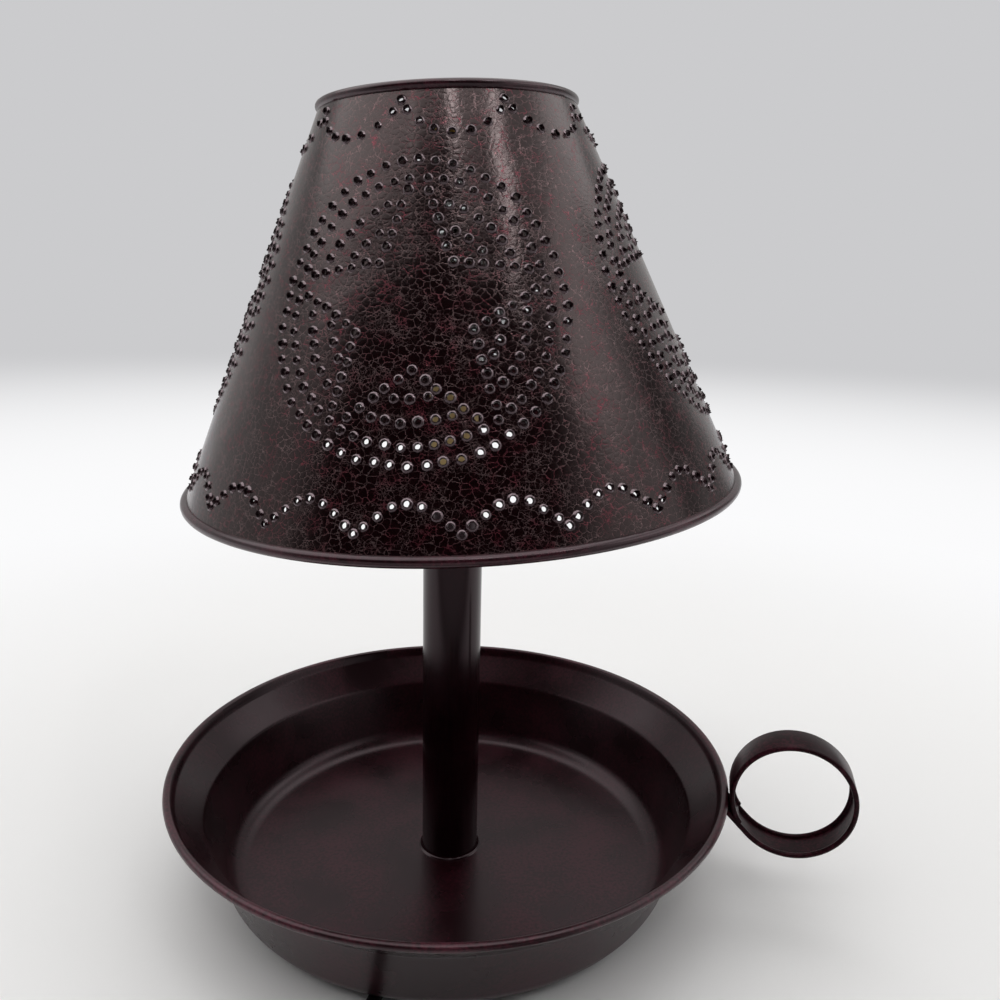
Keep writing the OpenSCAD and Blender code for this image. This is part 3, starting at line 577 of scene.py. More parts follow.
def punch_lip_tree():
    """Sets a raised, torn and open lip on every point of a mesh, facing along its attribute called out."""
    tree, put, given = node_group("Punched lips", (
        ("Hole radius", "Float"), ("Lip radius", "Float"), ("Lip height", "Float"), ("Torn", "Float"),
        ("Depth", "Float"), ("Sides", "Int"), ("Seed", "Int"), ("Finish", "Material"),
        ("Crown finish", "Material"),
    ))
    hole, high, torn = given["Hole radius"], given["Lip height"], given["Torn"]
    width = put(MATH, {0: given["Lip radius"], 1: hole}, operation="SUBTRACT")
    # Rows up the round shoulder to the torn crown and down the throat: the share of the way from hole to lip,
    # and the share of a height
    crown = 4
    profile = (
        (1.0, high, -0.05), (0.84, high, 0.24), (0.58, high, 0.43), (0.26, high, 0.55), (0.1, high, 1.0),
        (0.0, high, 0.92), (0.0, given["Depth"], -1.0),
    )
    rows = []
    for share, height, part in profile:
        radius = put(MATH, {0: width, 1: share, 2: hole}, operation="MULTIPLY_ADD")
        rows.append((radius, put(MATH, {0: height, 1: part}, operation="MULTIPLY")))
    walls = []
    for i in range(len(rows) - 1):
        # Past the crown the walls face the throat
        inside = i >= crown
        low, top = (rows[i + 1], rows[i]) if inside else (rows[i], rows[i + 1])
        rise = put(MATH, {0: top[1], 1: low[1]}, operation="SUBTRACT")
        wall = put("GeometryNodeMeshCone", {
            "Vertices": given["Sides"], "Side Segments": 1, "Radius Top": top[0], "Radius Bottom": low[0],
            "Depth": rise,
        }, fill_type="NONE")
        up = put("ShaderNodeCombineXYZ", {"Z": low[1]})
        wall = put("GeometryNodeTransform", {"Geometry": wall, "Translation": up})
        if inside:
            wall = put("GeometryNodeFlipFaces", {"Mesh": wall})
        walls.append(wall)
    join = put("GeometryNodeJoinGeometry", {0: walls})
    lip = put("GeometryNodeMergeByDistance", {"Geometry": join, "Distance": 0.02 * MM})
    # The crown alone is torn: its points are marked before the lip is repeated
    place = put("GeometryNodeInputPosition")
    height = put(SPLIT, {0: place}).outputs["Z"]
    foot = put(MATH, {0: high, 1: 0.6}, operation="MULTIPLY")
    above = put("FunctionNodeCompare", {0: height, 1: foot}, data_type="FLOAT", operation="GREATER_THAN")
    marked = put(
        "GeometryNodeStoreNamedAttribute", {"Geometry": lip, "Name": "crown", "Value": above},
        data_type="FLOAT", domain="POINT",
    )
    out = put("GeometryNodeInputNamedAttribute", {"Name": "out"}, data_type="FLOAT_VECTOR")
    turn = put("FunctionNodeAlignRotationToVector", {"Vector": out}, axis="Z")
    change = put("FunctionNodeRandomValue", {2: 0.88, 3: 1.1, "Seed": given["Seed"]}, data_type="FLOAT")
    lips = put("GeometryNodeInstanceOnPoints", {
        "Points": given["Geometry"], "Instance": marked, "Rotation": turn, "Scale": change,
    })
    whole = put("GeometryNodeRealizeInstances", {"Geometry": lips})
    # Petals about 0.9 mm wide stand up or lie low by chance of place, and lean aside
    petals = put(CELLS, {"Vector": place, "Scale": 1 / (0.9 * MM)}).outputs["Color"]
    chance = put(SPLIT, {0: petals}).outputs["X"]
    spread = put(MATH, {0: chance, 1: 0.5}, operation="SUBTRACT")
    crowned = put("GeometryNodeInputNamedAttribute", {"Name": "crown"}, data_type="FLOAT")
    amount, reach = (put(MATH, {0: torn, 1: share}, operation="MULTIPLY") for share in (2.0, 0.6))
    amount = put(MATH, {0: spread, 1: amount}, operation="MULTIPLY")
    amount, reach = (put(MATH, {0: size, 1: crowned}, operation="MULTIPLY") for size in (amount, reach))
    aside = put(VECTOR, {0: petals, 1: HALF}, operation="SUBTRACT")
    push, aside = (
        put(VECTOR, {0: way, "Scale": size}, operation="SCALE")
        for way, size in ((out, amount), (aside, reach))
    )
    push = put(VECTOR, {0: push, 1: aside}, operation="ADD")
    whole = put("GeometryNodeSetPosition", {"Geometry": whole, "Offset": push})
    whole = put("GeometryNodeSetShadeSmooth", {"Geometry": whole, "Shade Smooth": True})
    ragged = put("FunctionNodeCompare", {0: crowned, 1: 0.3}, data_type="FLOAT", operation="GREATER_THAN")
    for inputs in ({"Material": given["Finish"]}, {"Material": given["Crown finish"], "Selection": ragged}):
        whole = put("GeometryNodeSetMaterial", {"Geometry": whole, **inputs})
    put("NodeGroupOutput", {"Geometry": whole})
    return tree


def rib_tree():
    """Sets an upright half-round rib on every point of a mesh."""
    tree, put, given = node_group("Grip ribs", (
        ("Width", "Float"), ("Depth", "Float"), ("Length", "Float"), ("Finish", "Material"),
    ))
    rib = put("GeometryNodeMeshCylinder", {"Vertices": 10, "Radius": 0.5, "Depth": 1.0}, fill_type="NGON")
    size = put("ShaderNodeCombineXYZ", {"X": given["Width"], "Y": given["Depth"], "Z": given["Length"]})
    rib = put("GeometryNodeTransform", {"Geometry": rib, "Scale": size})
    ribs = put("GeometryNodeInstanceOnPoints", {"Points": given["Geometry"], "Instance": rib})
    whole = put("GeometryNodeRealizeInstances", {"Geometry": ribs})
    finish = put("GeometryNodeSetMaterial", {"Geometry": whole, "Material": given["Finish"]})
    put("NodeGroupOutput", {"Geometry": finish})
    return tree


# The cord's route, in millimetres from the candle tube's axis
LEAD = [
    (-29.5, -78.5, 1.9), (-31.5, -84.5, 1.6), (-34.5, -92, 1.4), (-37, -99, 1.4), (-39.5, -105.5, 1.4),
    (-41, -111, 1.4), (-41.5, -116, 1.4), (-39.5, -126.5, 1.4), (-34.5, -135.5, 1.5), (-26.5, -142, 1.9),
    (-19, -145, 2.8), (-11, -146, 4), (-2, -146, 5.2), (5, -146, 5.5), (13, -146, 5.5),
]
RUN = [
    (61, -146, 5.5), (68, -146, 5.5), (75, -148, 5.1), (82, -153, 4.4), (87.5, -160, 3.7), (90.5, -168, 3.2),
    (91.5, -177, 2.8), (91.5, -186, 2.7), (91.5, -198, 2.7),
]
COIL_MIDDLE = (53, -204)
COIL_RADIUS = 38.5
COIL_STEP = 4.6
COIL_TURNS = 8.25
COIL_LAYER = 6.3
COIL_LOW = 2.7
PLUG_HEIGHT = 6
COIL_POINTS = 40
CORD_STEP = 2.5 * MM
# How far the end runs out of the coil, and the share of the way down to the plug
TAIL = ((7, 0), (14, 0.1), (20, 0.45), (26, 0.9), (33, 1))


def coil_point(s):
    """Place on the coil after s turns: in, up a layer, and out again."""
    half = (COIL_TURNS - 0.5) / 2
    inward = s if s <= half + 0.25 else COIL_TURNS - s
    u = min(1, max(0, (s - half) / 0.5))
    r = COIL_RADIUS - COIL_STEP * inward
    a = -2 * math.pi * s
    return at(
        COIL_MIDDLE[0] + r * math.cos(a), COIL_MIDDLE[1] + r * math.sin(a),
        COIL_LOW + COIL_LAYER * u * u * (3 - 2 * u),
    )


def cord_outline():
    """Section of a flat twin cord: two round cores side by side with a groove between."""
    s = sizes()
    core = s.cord_thick / 2
    apart = s.cord_width / 2 - core
    right = [around(core, t) for t in (-115, -85, -50, -18, 18, 50, 85, 115)]
    return [(apart + a, b) for a, b in right] + [(-apart - a, -b) for a, b in right]


def level(points):
    """Directions across a cord that lies flat."""
    out = []
    for i in range(len(points)):
        way = points[min(i + 1, len(points) - 1)] - points[max(i - 1, 0)]
        out.append(Vector((-way.y, way.x, 0)).normalized())
    return out


class CHAMBERSTICK_OT_stage(Operator):
    """Camera at the photograph's view, pale table and soft light"""

    bl_idname = "chamberstick.stage"
    bl_label = "Stage"

    def execute(self, context):
        scene = context.scene
        scene.view_settings.view_transform = "Standard"
        camera = bpy.data.cameras.new("camera")
        camera.lens, camera.sensor_width = 32.23, 36
        camera.clip_start, camera.clip_end = 0.01, 50
        eye = linked("camera", camera)
        right, up = Vector((0.9932, -0.1138, 0.0229)), Vector((0.0051, 0.2394, 0.9709))
        back = right.cross(up).normalized()
        right = up.cross(back).normalized()
        turn = Matrix((right, up, back)).transposed()
        eye.matrix_world = Matrix.Translation(at(-24.69, -373.43, 263.76)) @ turn.to_4x4()
        scene.camera = eye
        self.floor()
        self.lamp()
        self.room(scene)
        return {"FINISHED"}

    def floor(self):
        """A wide pale table top."""
        half = 8.0
        mesh = bpy.data.meshes.new("table_top")
        corners = [(-half, -half, 0), (half, -half, 0), (half, half, 0), (-half, half, 0)]
        mesh.from_pydata(corners, [], [(0, 1, 2, 3)])
        mesh.materials.append(pale_table())
        linked("table_top", mesh)

    def lamp(self):
        """A faint lamp high at the right, which no mirror image shows."""
        lamp = bpy.data.lights.new("high_right_lamp", "AREA")
        lamp.shape, lamp.size, lamp.size_y, lamp.energy = "RECTANGLE", 0.18, 0.3, 0.25
        holder = linked("high_right_lamp", lamp)
        holder.location = Vector((0.57, -0.68, 1.36))
        holder.rotation_euler = (Vector((0, 0, 0.26)) - holder.location).to_track_quat("-Z", "Y").to_euler()
        holder.visible_glossy = False

    def room(self, scene):
        """A bright ceiling that ends before the camera, strip lamps before its edge, and duller walls."""
        world = bpy.data.worlds.new("soft_room")
        world.use_nodes = True
        tree = world.node_tree
        tree.nodes.clear()
        put = partial(add, tree)
        place = put("ShaderNodeTexCoord").outputs["Generated"]
        x, y, z = put(SPLIT, {0: place}).outputs
        # Where each direction meets a ceiling one unit above
        up = put(MATH, {0: z, 1: 0.05}, operation="MAXIMUM")
        across, along = (put(MATH, {0: way, 1: up}, operation="DIVIDE") for way in (x, y))
        aside = put(MATH, {0: across}, operation="ABSOLUTE")
        # The ceiling's front edge runs slantwise, nearer at the right
        front = along
        for start, end, low, high in ((-2.2, -0.6, -0.43, 0.07), (0.95, 1.1, 0, 0.2)):
            nearer = put(RANGE, {"Value": across, 1: start, 2: end, 3: low, 4: high}, **SMOOTH)
            front = put(MATH, {0: front, 1: nearer}, operation="ADD")
        # A pale spot before it, and the lean of a dark post before the right wall
        spot, post = (
            put(VECTOR, {0: place, 1: way}, operation="DOT_PRODUCT")
            for way in ((0.11, -0.518, 0.848), (-0.443, 0.601, 0.665))
        )
        # Each row is a light or a shadow and the fades that bound it: what each reads, its start and end, and
        # its strength there. First the ceiling, and the beam that darkens a strip of it
        light, shadow = "MAXIMUM", "MULTIPLY"
        rows = [
            (light, (front, -0.78, -0.42, 0, 1), (along, 1.65, 0.6, 0, 1), (aside, 2.8, 1.3, 0, 1.75)),
            (shadow, (across, 0.45, 0.7, 0, 0.52), (across, 1.13, 0.95, 0, 1)),
        ]
        # Three strip lamps: how far across, half width, strength, and near and far ends
        for middle, wide, strength, near, far in (
            (-0.6, 0.07, 2.6, -0.82, -0.5), (-0.02, 0.085, 10.0, -0.82, -0.56),
            (0.53, 0.085, 8.0, -0.9, -0.52),
        ):
            off = put(MATH, {0: across, 1: middle}, operation="SUBTRACT")
            off = put(MATH, {0: off}, operation="ABSOLUTE")
            ends = (along, near, near + 0.14, 0, 1), (along, far + 0.1, far, 0, 1)
            rows.append((light, (off, wide, 0.3 * wide, 0, strength), *ends))
        # The walls at the left, at the right and behind, the pale spot and the post
        rows += [
            (light, (x, -0.3, -0.7, 0, 0.5), (y, -0.45, -0.1, 0, 1)),
            (light, (x, 0.45, 0.85, 0, 0.75), (y, 0.25, -0.1, 0, 1)),
            (light, (z, 0.25, 0.6, 1, 0.7), (y, -0.1, 0.5, 0, 0.53)),
            (light, (spot, 0.974, 1.0, 0, 1.3)),
            (shadow, (post, -0.13, -0.06, 0, 0.55), (post, 0.15, 0.03, 0, 1), (x, 0.5, 0.7, 0, 1),
             (z, 0.6, 0.5, 0, 1)),
        ]
        power = 0.0
        for operation, *fades in rows:
            share = 1.0
            for value, start, end, low, high in fades:
                fade = put(RANGE, {"Value": value, 1: start, 2: end, 3: low, 4: high}, **SMOOTH)
                share = put(MATH, {0: share, 1: fade}, operation="MULTIPLY")
            if operation == shadow:
                share = put(MATH, {0: 1.0, 1: share}, operation="SUBTRACT")
            power = put(MATH, {0: power, 1: share}, operation=operation)
        power = put(MATH, {0: power, 1: 0.012}, operation="ADD")
        room = put("ShaderNodeBackground", {"Color": linear("#fbfaf9"), "Strength": power})
        sweep = put("ShaderNodeBackground", {"Color": linear(BACKDROP), "Strength": 1.0})
        path = put("ShaderNodeLightPath").outputs
        plain = put(MATH, {0: path["Is Camera Ray"], 1: path["Is Transmission Ray"]}, operation="MAXIMUM")
        mix = put("ShaderNodeMixShader", {0: plain, 1: room, 2: sweep})
        put("ShaderNodeOutputWorld", {"Surface": mix})
        scene.world = world


class CHAMBERSTICK_OT_cord(Operator):
    """Flat twin cord: under the pan, out to its switch, and coiled up to its plug"""

    bl_idname = "chamberstick.cord"
    bl_label = "Cord"

    def execute(self, context):
        vinyl, outline = plain_finish("extruded_vinyl"), cord_outline()
        lead, run = (smooth_route([at(*p) for p in route], CORD_STEP) for route in (LEAD, RUN))
        # Through the switch it runs straight
        through = [at(*Vector(LEAD[-1]).lerp(Vector(RUN[0]), k / 16)) for k in range(1, 16)]
        loops = [coil_point(i / COIL_POINTS) for i in range(round(COIL_TURNS * COIL_POINTS) + 1)]
        end = loops[-1]
        drop = PLUG_HEIGHT * MM - end.z
        tail = [Vector((end.x - d * MM, end.y, end.z + drop * f)) for d, f in TAIL]
        tail = smooth_route([end] + tail, CORD_STEP)[1:]
        tail.append(tail[-1] + Vector((-CORD_STEP, 0, 0)))
        points = lead + through + run[:-1] + loops + tail
        # It lies flat as far as the switch, and then rolls over to stand on edge in the coil
        flat = level(lead + through + run)
        turned = flat[:len(lead) + len(through)]
        for i in range(len(run) - 1):
            roll = math.radians(90 * min(1, i / (len(run) - 8)))
            turned.append(flat[len(turned)] * math.cos(roll) + Vector((0, 0, math.sin(roll))))
        turned += [Vector((0, 0, 1))] * (len(loops) + len(tail))
        cord = make_piece(
            "cord", [swept(points, turned, outline)], vinyl, "base",
            ["cord_lead", "cord_run", "cord_coil"],
        )
        self.inner(vinyl, outline)
        return {"FINISHED"}

    def inner(self, vinyl, outline):
        """The stretch under the floor and up the tube, which the lamp holds."""
        way = Vector((*around(1, CORD_TURN), 0))
        low, bend = 1.9, 12
        line = [(far, low) for far in (83.7, 70, 55, 40, 26)]
        turns = [around(bend, a) for a in range(0, 91, 10)]
        line += [(bend - across, low + bend - up) for up, across in turns]
        line += [(0, z) for z in (40, 80, 120, 168, 187)]
        points = [at(way.x * r, way.y * r, z) for r, z in line]
        across = [Vector((-way.y, way.x, 0))] * len(points)
        inside = swept(points, across, outline)
        make_piece("cord_inside", [inside], vinyl, "base", ["inner_cord"])


class CHAMBERSTICK_OT_pan(Operator):
    """Pressed tin pan with a rolled rim, felt feet and the cord's clip"""

    bl_idname = "chamberstick.pan"
    bl_label = "Pan"

    def execute(self, context):
        s = sizes()
        # The wall's lean in degrees, the sheet's thickness, the corner's radius, the floor's height, the
        # radius of the hole in its middle, and how far the crease is eased
        lean, thick, corner, ground, bore, ease = 18, 0.8, 10.4, 4.0, 10.8, 0.9
        rim = (s.pan_rim / MM, s.pan_rim_height / MM)
        crease = (s.crease / MM, s.crease_height / MM)
        wall = around(1, lean)[::-1]
        span = math.dist(rim, crease)
        flange = ((rim[0] - crease[0]) / span, (rim[1] - crease[1]) / span)
        # The floor, the rounded corner, the wall, the eased crease and the flange
        centre = ground + corner
        high = crease[1] - centre + corner * wall[0]
        corner_x = crease[0] - high * wall[0] / wall[1] - corner * wall[1]
        line = [(bore + (corner_x - bore) * k / 12, ground) for k in range(12)]
        line += arc((corner_x, centre), corner, -90, -lean, 14)
        line += [(crease[0] - wall[0] * d, crease[1] - wall[1] * d) for d in (14, 8, 3)]
        a = (crease[0] - wall[0] * ease, crease[1] - wall[1] * ease)
        b = (crease[0] + flange[0] * ease, crease[1] + flange[1] * ease)
        for k in range(6):
            t = k / 5
            u = 1 - t
            line.append(tuple(u * u * p + 2 * t * u * q + t * t * r for p, q, r in zip(a, crease, b)))
        # The last 4.5 mm lift so that the upper face runs smoothly over the rolled rim
        lift, bend = s.pan_bead / MM - thick / 2, 4.5
        for d in [3, 7] + [span - bend + bend * k / 9 for k in range(10)]:
            t = max(0.0, 1 - (span - d) / bend)
            up = lift * t * t * (3 - 2 * t)
            x, z = crease[0] + flange[0] * d, crease[1] + flange[1] * d
            line.append((x - flange[1] * up, z + flange[0] * up))
        body = spun(sheet_profile(line, thick), 240)
        bead = spun(circle_profile(rim[0], rim[1], s.pan_bead / MM, 16), 240)
        smooth, rubbed = tin_lacquer("smooth_lacquer_on_tin"), tin_lacquer("rubbed_lacquer_on_rim")
        make_piece("pan_sheet", [body], smooth, "base", ["pan"], 50)
        make_piece("pan_rolled_rim", [bead], rubbed, "base", (), 50)
        self.feet()
        paint(smooth, "cord_clip")
        paint(plain_finish("zinc_plated_steel"), "pan_wire")
        return {"FINISHED"}

    def feet(self):
        """Four round feet with eased edges, clear of the cord."""
        profile = [(0.01, 0), (7.2, 0), (7.7, 0.25), (8, 0.8), (8, 2.9), (7.8, 3.4), (7.4, 3.6), (0.01, 3.6)]
        parts = [spun(profile, 48, middle=around(78, CORD_TURN + 45 + 90 * k)) for k in range(4)]
        make_piece("felt_feet", parts, plain_finish("pressed_felt"), "base", ["feet"], 60)


class CHAMBERSTICK_OT_ring(Operator):
    """Finger ring of flat strip with its tail hooked under the flange"""

    bl_idname = "chamberstick.finger_ring"
    bl_label = "Finger ring"

    def execute(self, context):
        s = sizes()
        # It points this way, its middle stands this far above the rim, and its tail leaves at this angle
        turn, above, leave = -20, 5, 225
        out = Vector((*around(1, turn), 0))
        across = Vector((-out.y, out.x, 0))
        thick, roll = 1.0, 1.1
        outer, bead = s.ring / MM, s.pan_bead / MM
        rim = Vector((s.pan_rim / MM, s.pan_rim_height / MM))
        crease = Vector((s.crease / MM, s.crease_height / MM))
        centre = rim + Vector((math.sqrt((outer + bead + 0.4) ** 2 - above ** 2), above))
        mid = outer - thick / 2
        start = centre + Vector(around(mid, leave))
        tail = Vector(around(1, leave - 90))
        flange = (rim - crease).normalized()
        normal = Vector((flange.y, -flange.x))
        off = 0.4 + 2 * roll - thick / 2 + 0.05
        reach = ((start - crease).dot(normal) - off) / -tail.dot(normal)
        hook = start + tail * reach
        line = [hook - flange * d for d in (9, 6, 3, 1.2)]
        line += [hook - flange * 0.5 - tail * 0.15, hook - tail * 0.7]
        line += [start + tail * reach * f for f in (0.8, 0.6, 0.4, 0.2)]
        # Round to its start again, where the end tucks in behind the tail
        for a in (leave + 3.47 * k for k in range(101)):
            tuck = 0.34 * max(0, (a - 558) / 14) ** 2
            line.append(centre + Vector(around(mid - tuck, a)))
        points = [at(out.x * p.x, out.y * p.x, p.y) for p in line]
        # The strip's edges are rolled inwards, so they stand thicker than the strip
        half, t, roll = s.strip / 2, thick * MM / 2, roll * MM
        bends = (-90, -62, -34, -6, 22, 50, 78, 106, 134, 162, 188)
        right = [(half - roll + a, roll - t + b) for a, b in (around(roll, bend) for bend in bends)]
        right.append((half - 2.1 * roll, 0.3 * MM))
        outline = right + [(-a, b) for a, b in right[::-1]]
        strip = swept(points, [across] * len(points), outline)
        # The ring's lacquer is worn red, with a painted red reflection in its colour as well
        worn = tin_lacquer("handled_lacquer_on_ring")
        make_piece("finger_ring_strip", [strip], worn, "base", ["finger_ring"], 50)
        return {"FINISHED"}


class CHAMBERSTICK_OT_tube(Operator):
    """Candle tube with a fillet of solder at its foot"""

    bl_idname = "chamberstick.tube"
    bl_label = "Candle tube"

    def execute(self, context):
        s = sizes()
        r, top = s.tube / MM, s.tube_top / MM
        inside, low = r - 0.7, 4.4
        # A row just below the eased edge keeps the long wall's shading straight
        wall = [
            (inside, low), (r, low), (r, top - 1.2), (r, top - 0.3), (r - 0.2, top), (inside + 0.2, top),
            (inside, top - 0.3), (inside, top - 1.2),
        ]
        solder = 1.5
        foot = [(r - 0.1, low)] + arc((r + solder, low + solder), solder, 270, 180, 5)
        # The tube's lacquer is darker than the pan's, partly as painted shade under the lampshade
        dark, parts = tin_lacquer("lacquer_on_tube"), [spun(wall, 128), spun(foot, 128)]
        make_piece("candle_tube_sheet", parts, dark, "base", ["candle_tube"], 40)
        paint(dark, "tube_cap")
        return {"FINISHED"}


# The punched pattern, laid out flat as the sheet was before it was rolled

def cone_facts():
    """The cone's lower and upper edge as (radius, height), and its slope."""
    s = sizes()
    low = Vector((s.shade_low / MM, s.shade_low_height / MM))
    top = Vector((s.shade_top / MM, s.shade_top_height / MM))
    return low, top, (low.x - top.x) / (low - top).length


def flat_place(turn, share):
    """Place on the flat sheet of a point at an angle from the front and a share of the way up."""
    low, top, slope = cone_facts()
    far = (low.x + (top.x - low.x) * share) / slope
    return Vector(around(far, turn * slope - 90))


def star_marks():
    """Holes of one star from its middle: two rings, the star's outline, and rows that fill the corners."""
    # The rings: radius, count and first angle
    marks = []
    for r, count, first in ((51.4, 56, 0), (45.3, 52, 3.4)):
        marks += [around(r, 360 * k / count + first) for k in range(count)]
    dip, point, aside = 20.4, 41.0, 31
    for corner in range(5):
        middle = 90 + 36 + 72 * corner
        inner = Vector(around(dip, middle))
        marks.append(tuple(inner))
        for side in (-aside, aside):
            tip = Vector(around(point, middle + side))
            marks += [tuple(inner.lerp(tip, k / 5)) for k in range(1, 6)]
        # The rows: radius, first angle, step and count
        for r, first, step, count in ((37.3, -20.5, 8.2, 6), (29.6, -11.5, 11.5, 3)):
            marks += [around(r, middle + first + step * k) for k in range(count)]
    return marks


# Holes of one swag and one arch: degrees round the shade, where there are 9 and 20 of them, and share of
# the way up
SWAGS_SEEN, ARCHES_SEEN = 9, 20
SWAG = (
    (0, 0.966), (2.6, 0.943), (7.6, 0.917), (12.6, 0.9), (18.8, 0.89), (25.6, 0.893), (31.8, 0.912),
    (37.2, 0.941),
)
ARCH = (
    (0, 0.05), (1.8, 0.067), (4.0, 0.087), (6.5, 0.106), (9.0, 0.114), (11.6, 0.108), (14.0, 0.09),
    (16.3, 0.068),
)


def punched_places():
    """All the holes on the flat sheet, each a little off its mark, as a hand punches them."""
    s = sizes()
    low, top, slope = cone_facts()
    hand = random.Random(11)
    # Degrees from the front to the first star, swag and arch, the stars' share of the way up, and the half
    # width of the bare seam. Stars are punched more loosely than the borders
    star, swag, arch, middle, bare = -13.5, -21.6, -22.4, 0.509, 4.8
    loose_star, loose_border = 0.45, 0.25
    marks = []
    for k in range(s.motifs):
        turn = star + 360 / s.motifs * k
        far = (low.x + (top.x - low.x) * middle) / slope
        for u, v in star_marks():
            across = math.degrees(math.atan2(u, far - v)) / slope
            share = (low.x - math.hypot(u, far - v) * slope) / (low.x - top.x)
            marks.append((turn + across, share, loose_star))
    for k in range(s.swags):
        start, wide = swag + 360 / s.swags * k, SWAGS_SEEN / s.swags
        marks += [(start + t * wide, share, loose_border) for t, share in SWAG]
    for k in range(s.arches):
        start, wide = arch + 360 / s.arches * k, ARCHES_SEEN / s.arches
        marks += [(start + t * wide, share, loose_border) for t, share in ARCH]
    places = []
    for turn, share, loose in marks:
        turn = (turn - SHEET_START) % 360 + SHEET_START
        p = flat_place(turn, share)
        # The lapped seam is left unpunched
        if math.radians(min(turn - SHEET_START, SHEET_START + 360 - turn)) * p.length * slope < bare:
            continue
        places.append(p + Vector((hand.uniform(-loose, loose), hand.uniform(-loose, loose))))
    return places


def rolled(flat, out=0.0):
    """Where a point of the flat sheet lies on the upright cone, and which way the sheet faces there."""
    low, top, slope = cone_facts()
    far = flat.length
    turn = math.atan2(flat.x, -flat.y) / slope - math.pi / 2
    r = far * slope
    share = (low.x - r) / (low.x - top.x)
    z = low.y + (top.y - low.y) * share
    rise = (top - low).normalized()
    facing = Vector((math.cos(turn) * rise.y, math.sin(turn) * rise.y, -rise.x))
    return at(r * math.cos(turn), r * math.sin(turn), z) + facing * out * MM, facing


class CHAMBERSTICK_OT_shade(Operator):
    """Cone of punched tin with rolled edges, and its spider"""

    bl_idname = "chamberstick.shade"
    bl_label = "Shade"

    def execute(self, context):
        places = punched_places()
        self.sheet(places)
        self.lips(places)
        self.edges()
        paint(plain_finish("zinc_plated_steel"), "shade_spider", "shade_low_wire", "shade_top_wire")
        return {"FINISHED"}

    def sheet(self, places):
        """The rolled sheet with a real hole at every punch."""
        # The grid of points on the sheet, a hole's sides and radius, how far the grid stays from a hole's
        # middle, and the squares in which the holes are looked up
        columns, rows, sides, cut, clear, cell = 144, 18, 12, 1.4, 2.2, 4
        points, edges, owner = [], [], []

        def ring(loop, mark):
            base = len(points)
            points.extend(loop)
            owner.extend([mark] * len(loop))
            edges.extend((base + i, base + (i + 1) % len(loop)) for i in range(len(loop)))

        border = [flat_place(SHEET_START + 360 * k / columns, 0) for k in range(columns + 1)]
        border += [flat_place(SHEET_START + 360, k / rows) for k in range(1, rows)]
        border += [flat_place(SHEET_START + 360 - 360 * k / columns, 1) for k in range(columns + 1)]
        border += [flat_place(SHEET_START, 1 - k / rows) for k in range(1, rows)]
        ring(border, -1)
        for mark, p in enumerate(places):
            ring([p + Vector(around(cut, 360 * i / sides)) for i in range(sides)], mark)
        cells = {}
        for p in places:
            cells.setdefault((round(p.x / cell), round(p.y / cell)), []).append(p)
        for k in range(1, columns):
            for j in range(1, rows):
                p = flat_place(SHEET_START + 360 * k / columns, j / rows)
                column, row = round(p.x / cell), round(p.y / cell)
                beside = [(column + dx, row + dy) for dx in (-1, 0, 1) for dy in (-1, 0, 1)]
                if all((p - q).length > clear for spot in beside for q in cells.get(spot, [])):
                    points.append(p)
                    owner.append(-1)
        flat, _, triangles, origin, _, _ = delaunay_2d_cdt(points, edges, [], 1, 1e-5)
        mark = [owner[o[0]] if o else -1 for o in origin]
        kept = [(a, b, c) for a, b, c in triangles if not (mark[a] >= 0 and mark[a] == mark[b] == mark[c])]
        front, facing = zip(*(rolled(p, SHEET_HALF) for p in flat))
        behind = [p - way * 2 * SHEET_HALF * MM for p, way in zip(front, facing)]
        n = len(front)
        faces = [list(t) for t in kept] + [[n + i for i in reversed(t)] for t in kept]
        rim = dict.fromkeys(pair for a, b, c in kept for pair in ((a, b), (b, c), (c, a)))
        faces += [[b, a, n + a, n + b] for a, b in rim if (b, a) not in rim]
        parts = [([on_bulb(p) for p in (*front, *behind)], faces)]
        piece = make_piece("shade_sheet", parts, crackle_lacquer(), "shade", ["shade_cone"])
        normals = [LEAN @ way for way in facing] + [LEAN @ -way for way in facing]
        if len(piece.data.vertices) == len(normals):
            piece.data.normals_split_custom_set_from_vertices(normals)

    def lips(self, places):
        """The raised lip that the punch leaves round each hole."""
        s = sizes()
        points, ways = zip(*(rolled(p, SHEET_HALF) for p in places))
        piece = made_by(punch_lip_tree(), "shade_punched_lips", [on_bulb(p) for p in points], {
            "Hole radius": s.punch, "Lip radius": s.lip, "Lip height": s.lip_height, "Torn": 0.55 * MM,
            "Depth": 0.65 * MM, "Sides": 10, "Seed": 5, "Finish": tin_lacquer("lacquered_torn_tin"),
            "Crown finish": tin_lacquer("broken_lacquer_on_torn_edge"),
        }, [LEAN @ way for way in ways])
        dress(piece, "shade")

    def edges(self):
        """Rolled edges and the lapped seam at the back."""
        low, top, slope = cone_facts()
        parts = [
            spun(circle_profile(low.x, low.y, 2.0, 16), 240, on_bulb),
            spun(circle_profile(top.x, top.y, 1.8, 16), 160, on_bulb),
        ]
        lap = ((-2.5, 0.25), (-2.45, 0.75), (-2.2, 0.9), (0, 0.9), (2.2, 0.9), (2.45, 0.75), (2.5, 0.25))
        shares, n, points = (0.03, 0.25, 0.5, 0.75, 0.97), len(lap), []
        for share in shares:
            near = flat_place(SHEET_START, share).length * slope
            for side, out in lap:
                turn = SHEET_START + math.degrees(side / near)
                points.append(on_bulb(rolled(flat_place(turn, share), out)[0]))
        corners = [j * n + i for j in range(len(shares) - 1) for i in range(n - 1)]
        parts.append((points, [[c, c + 1, c + n + 1, c + n] for c in corners]))
        worn = tin_lacquer("worn_lacquer_on_rolled_edge")
        make_piece("shade_rolled_edges", parts, worn, "shade", (), 50)


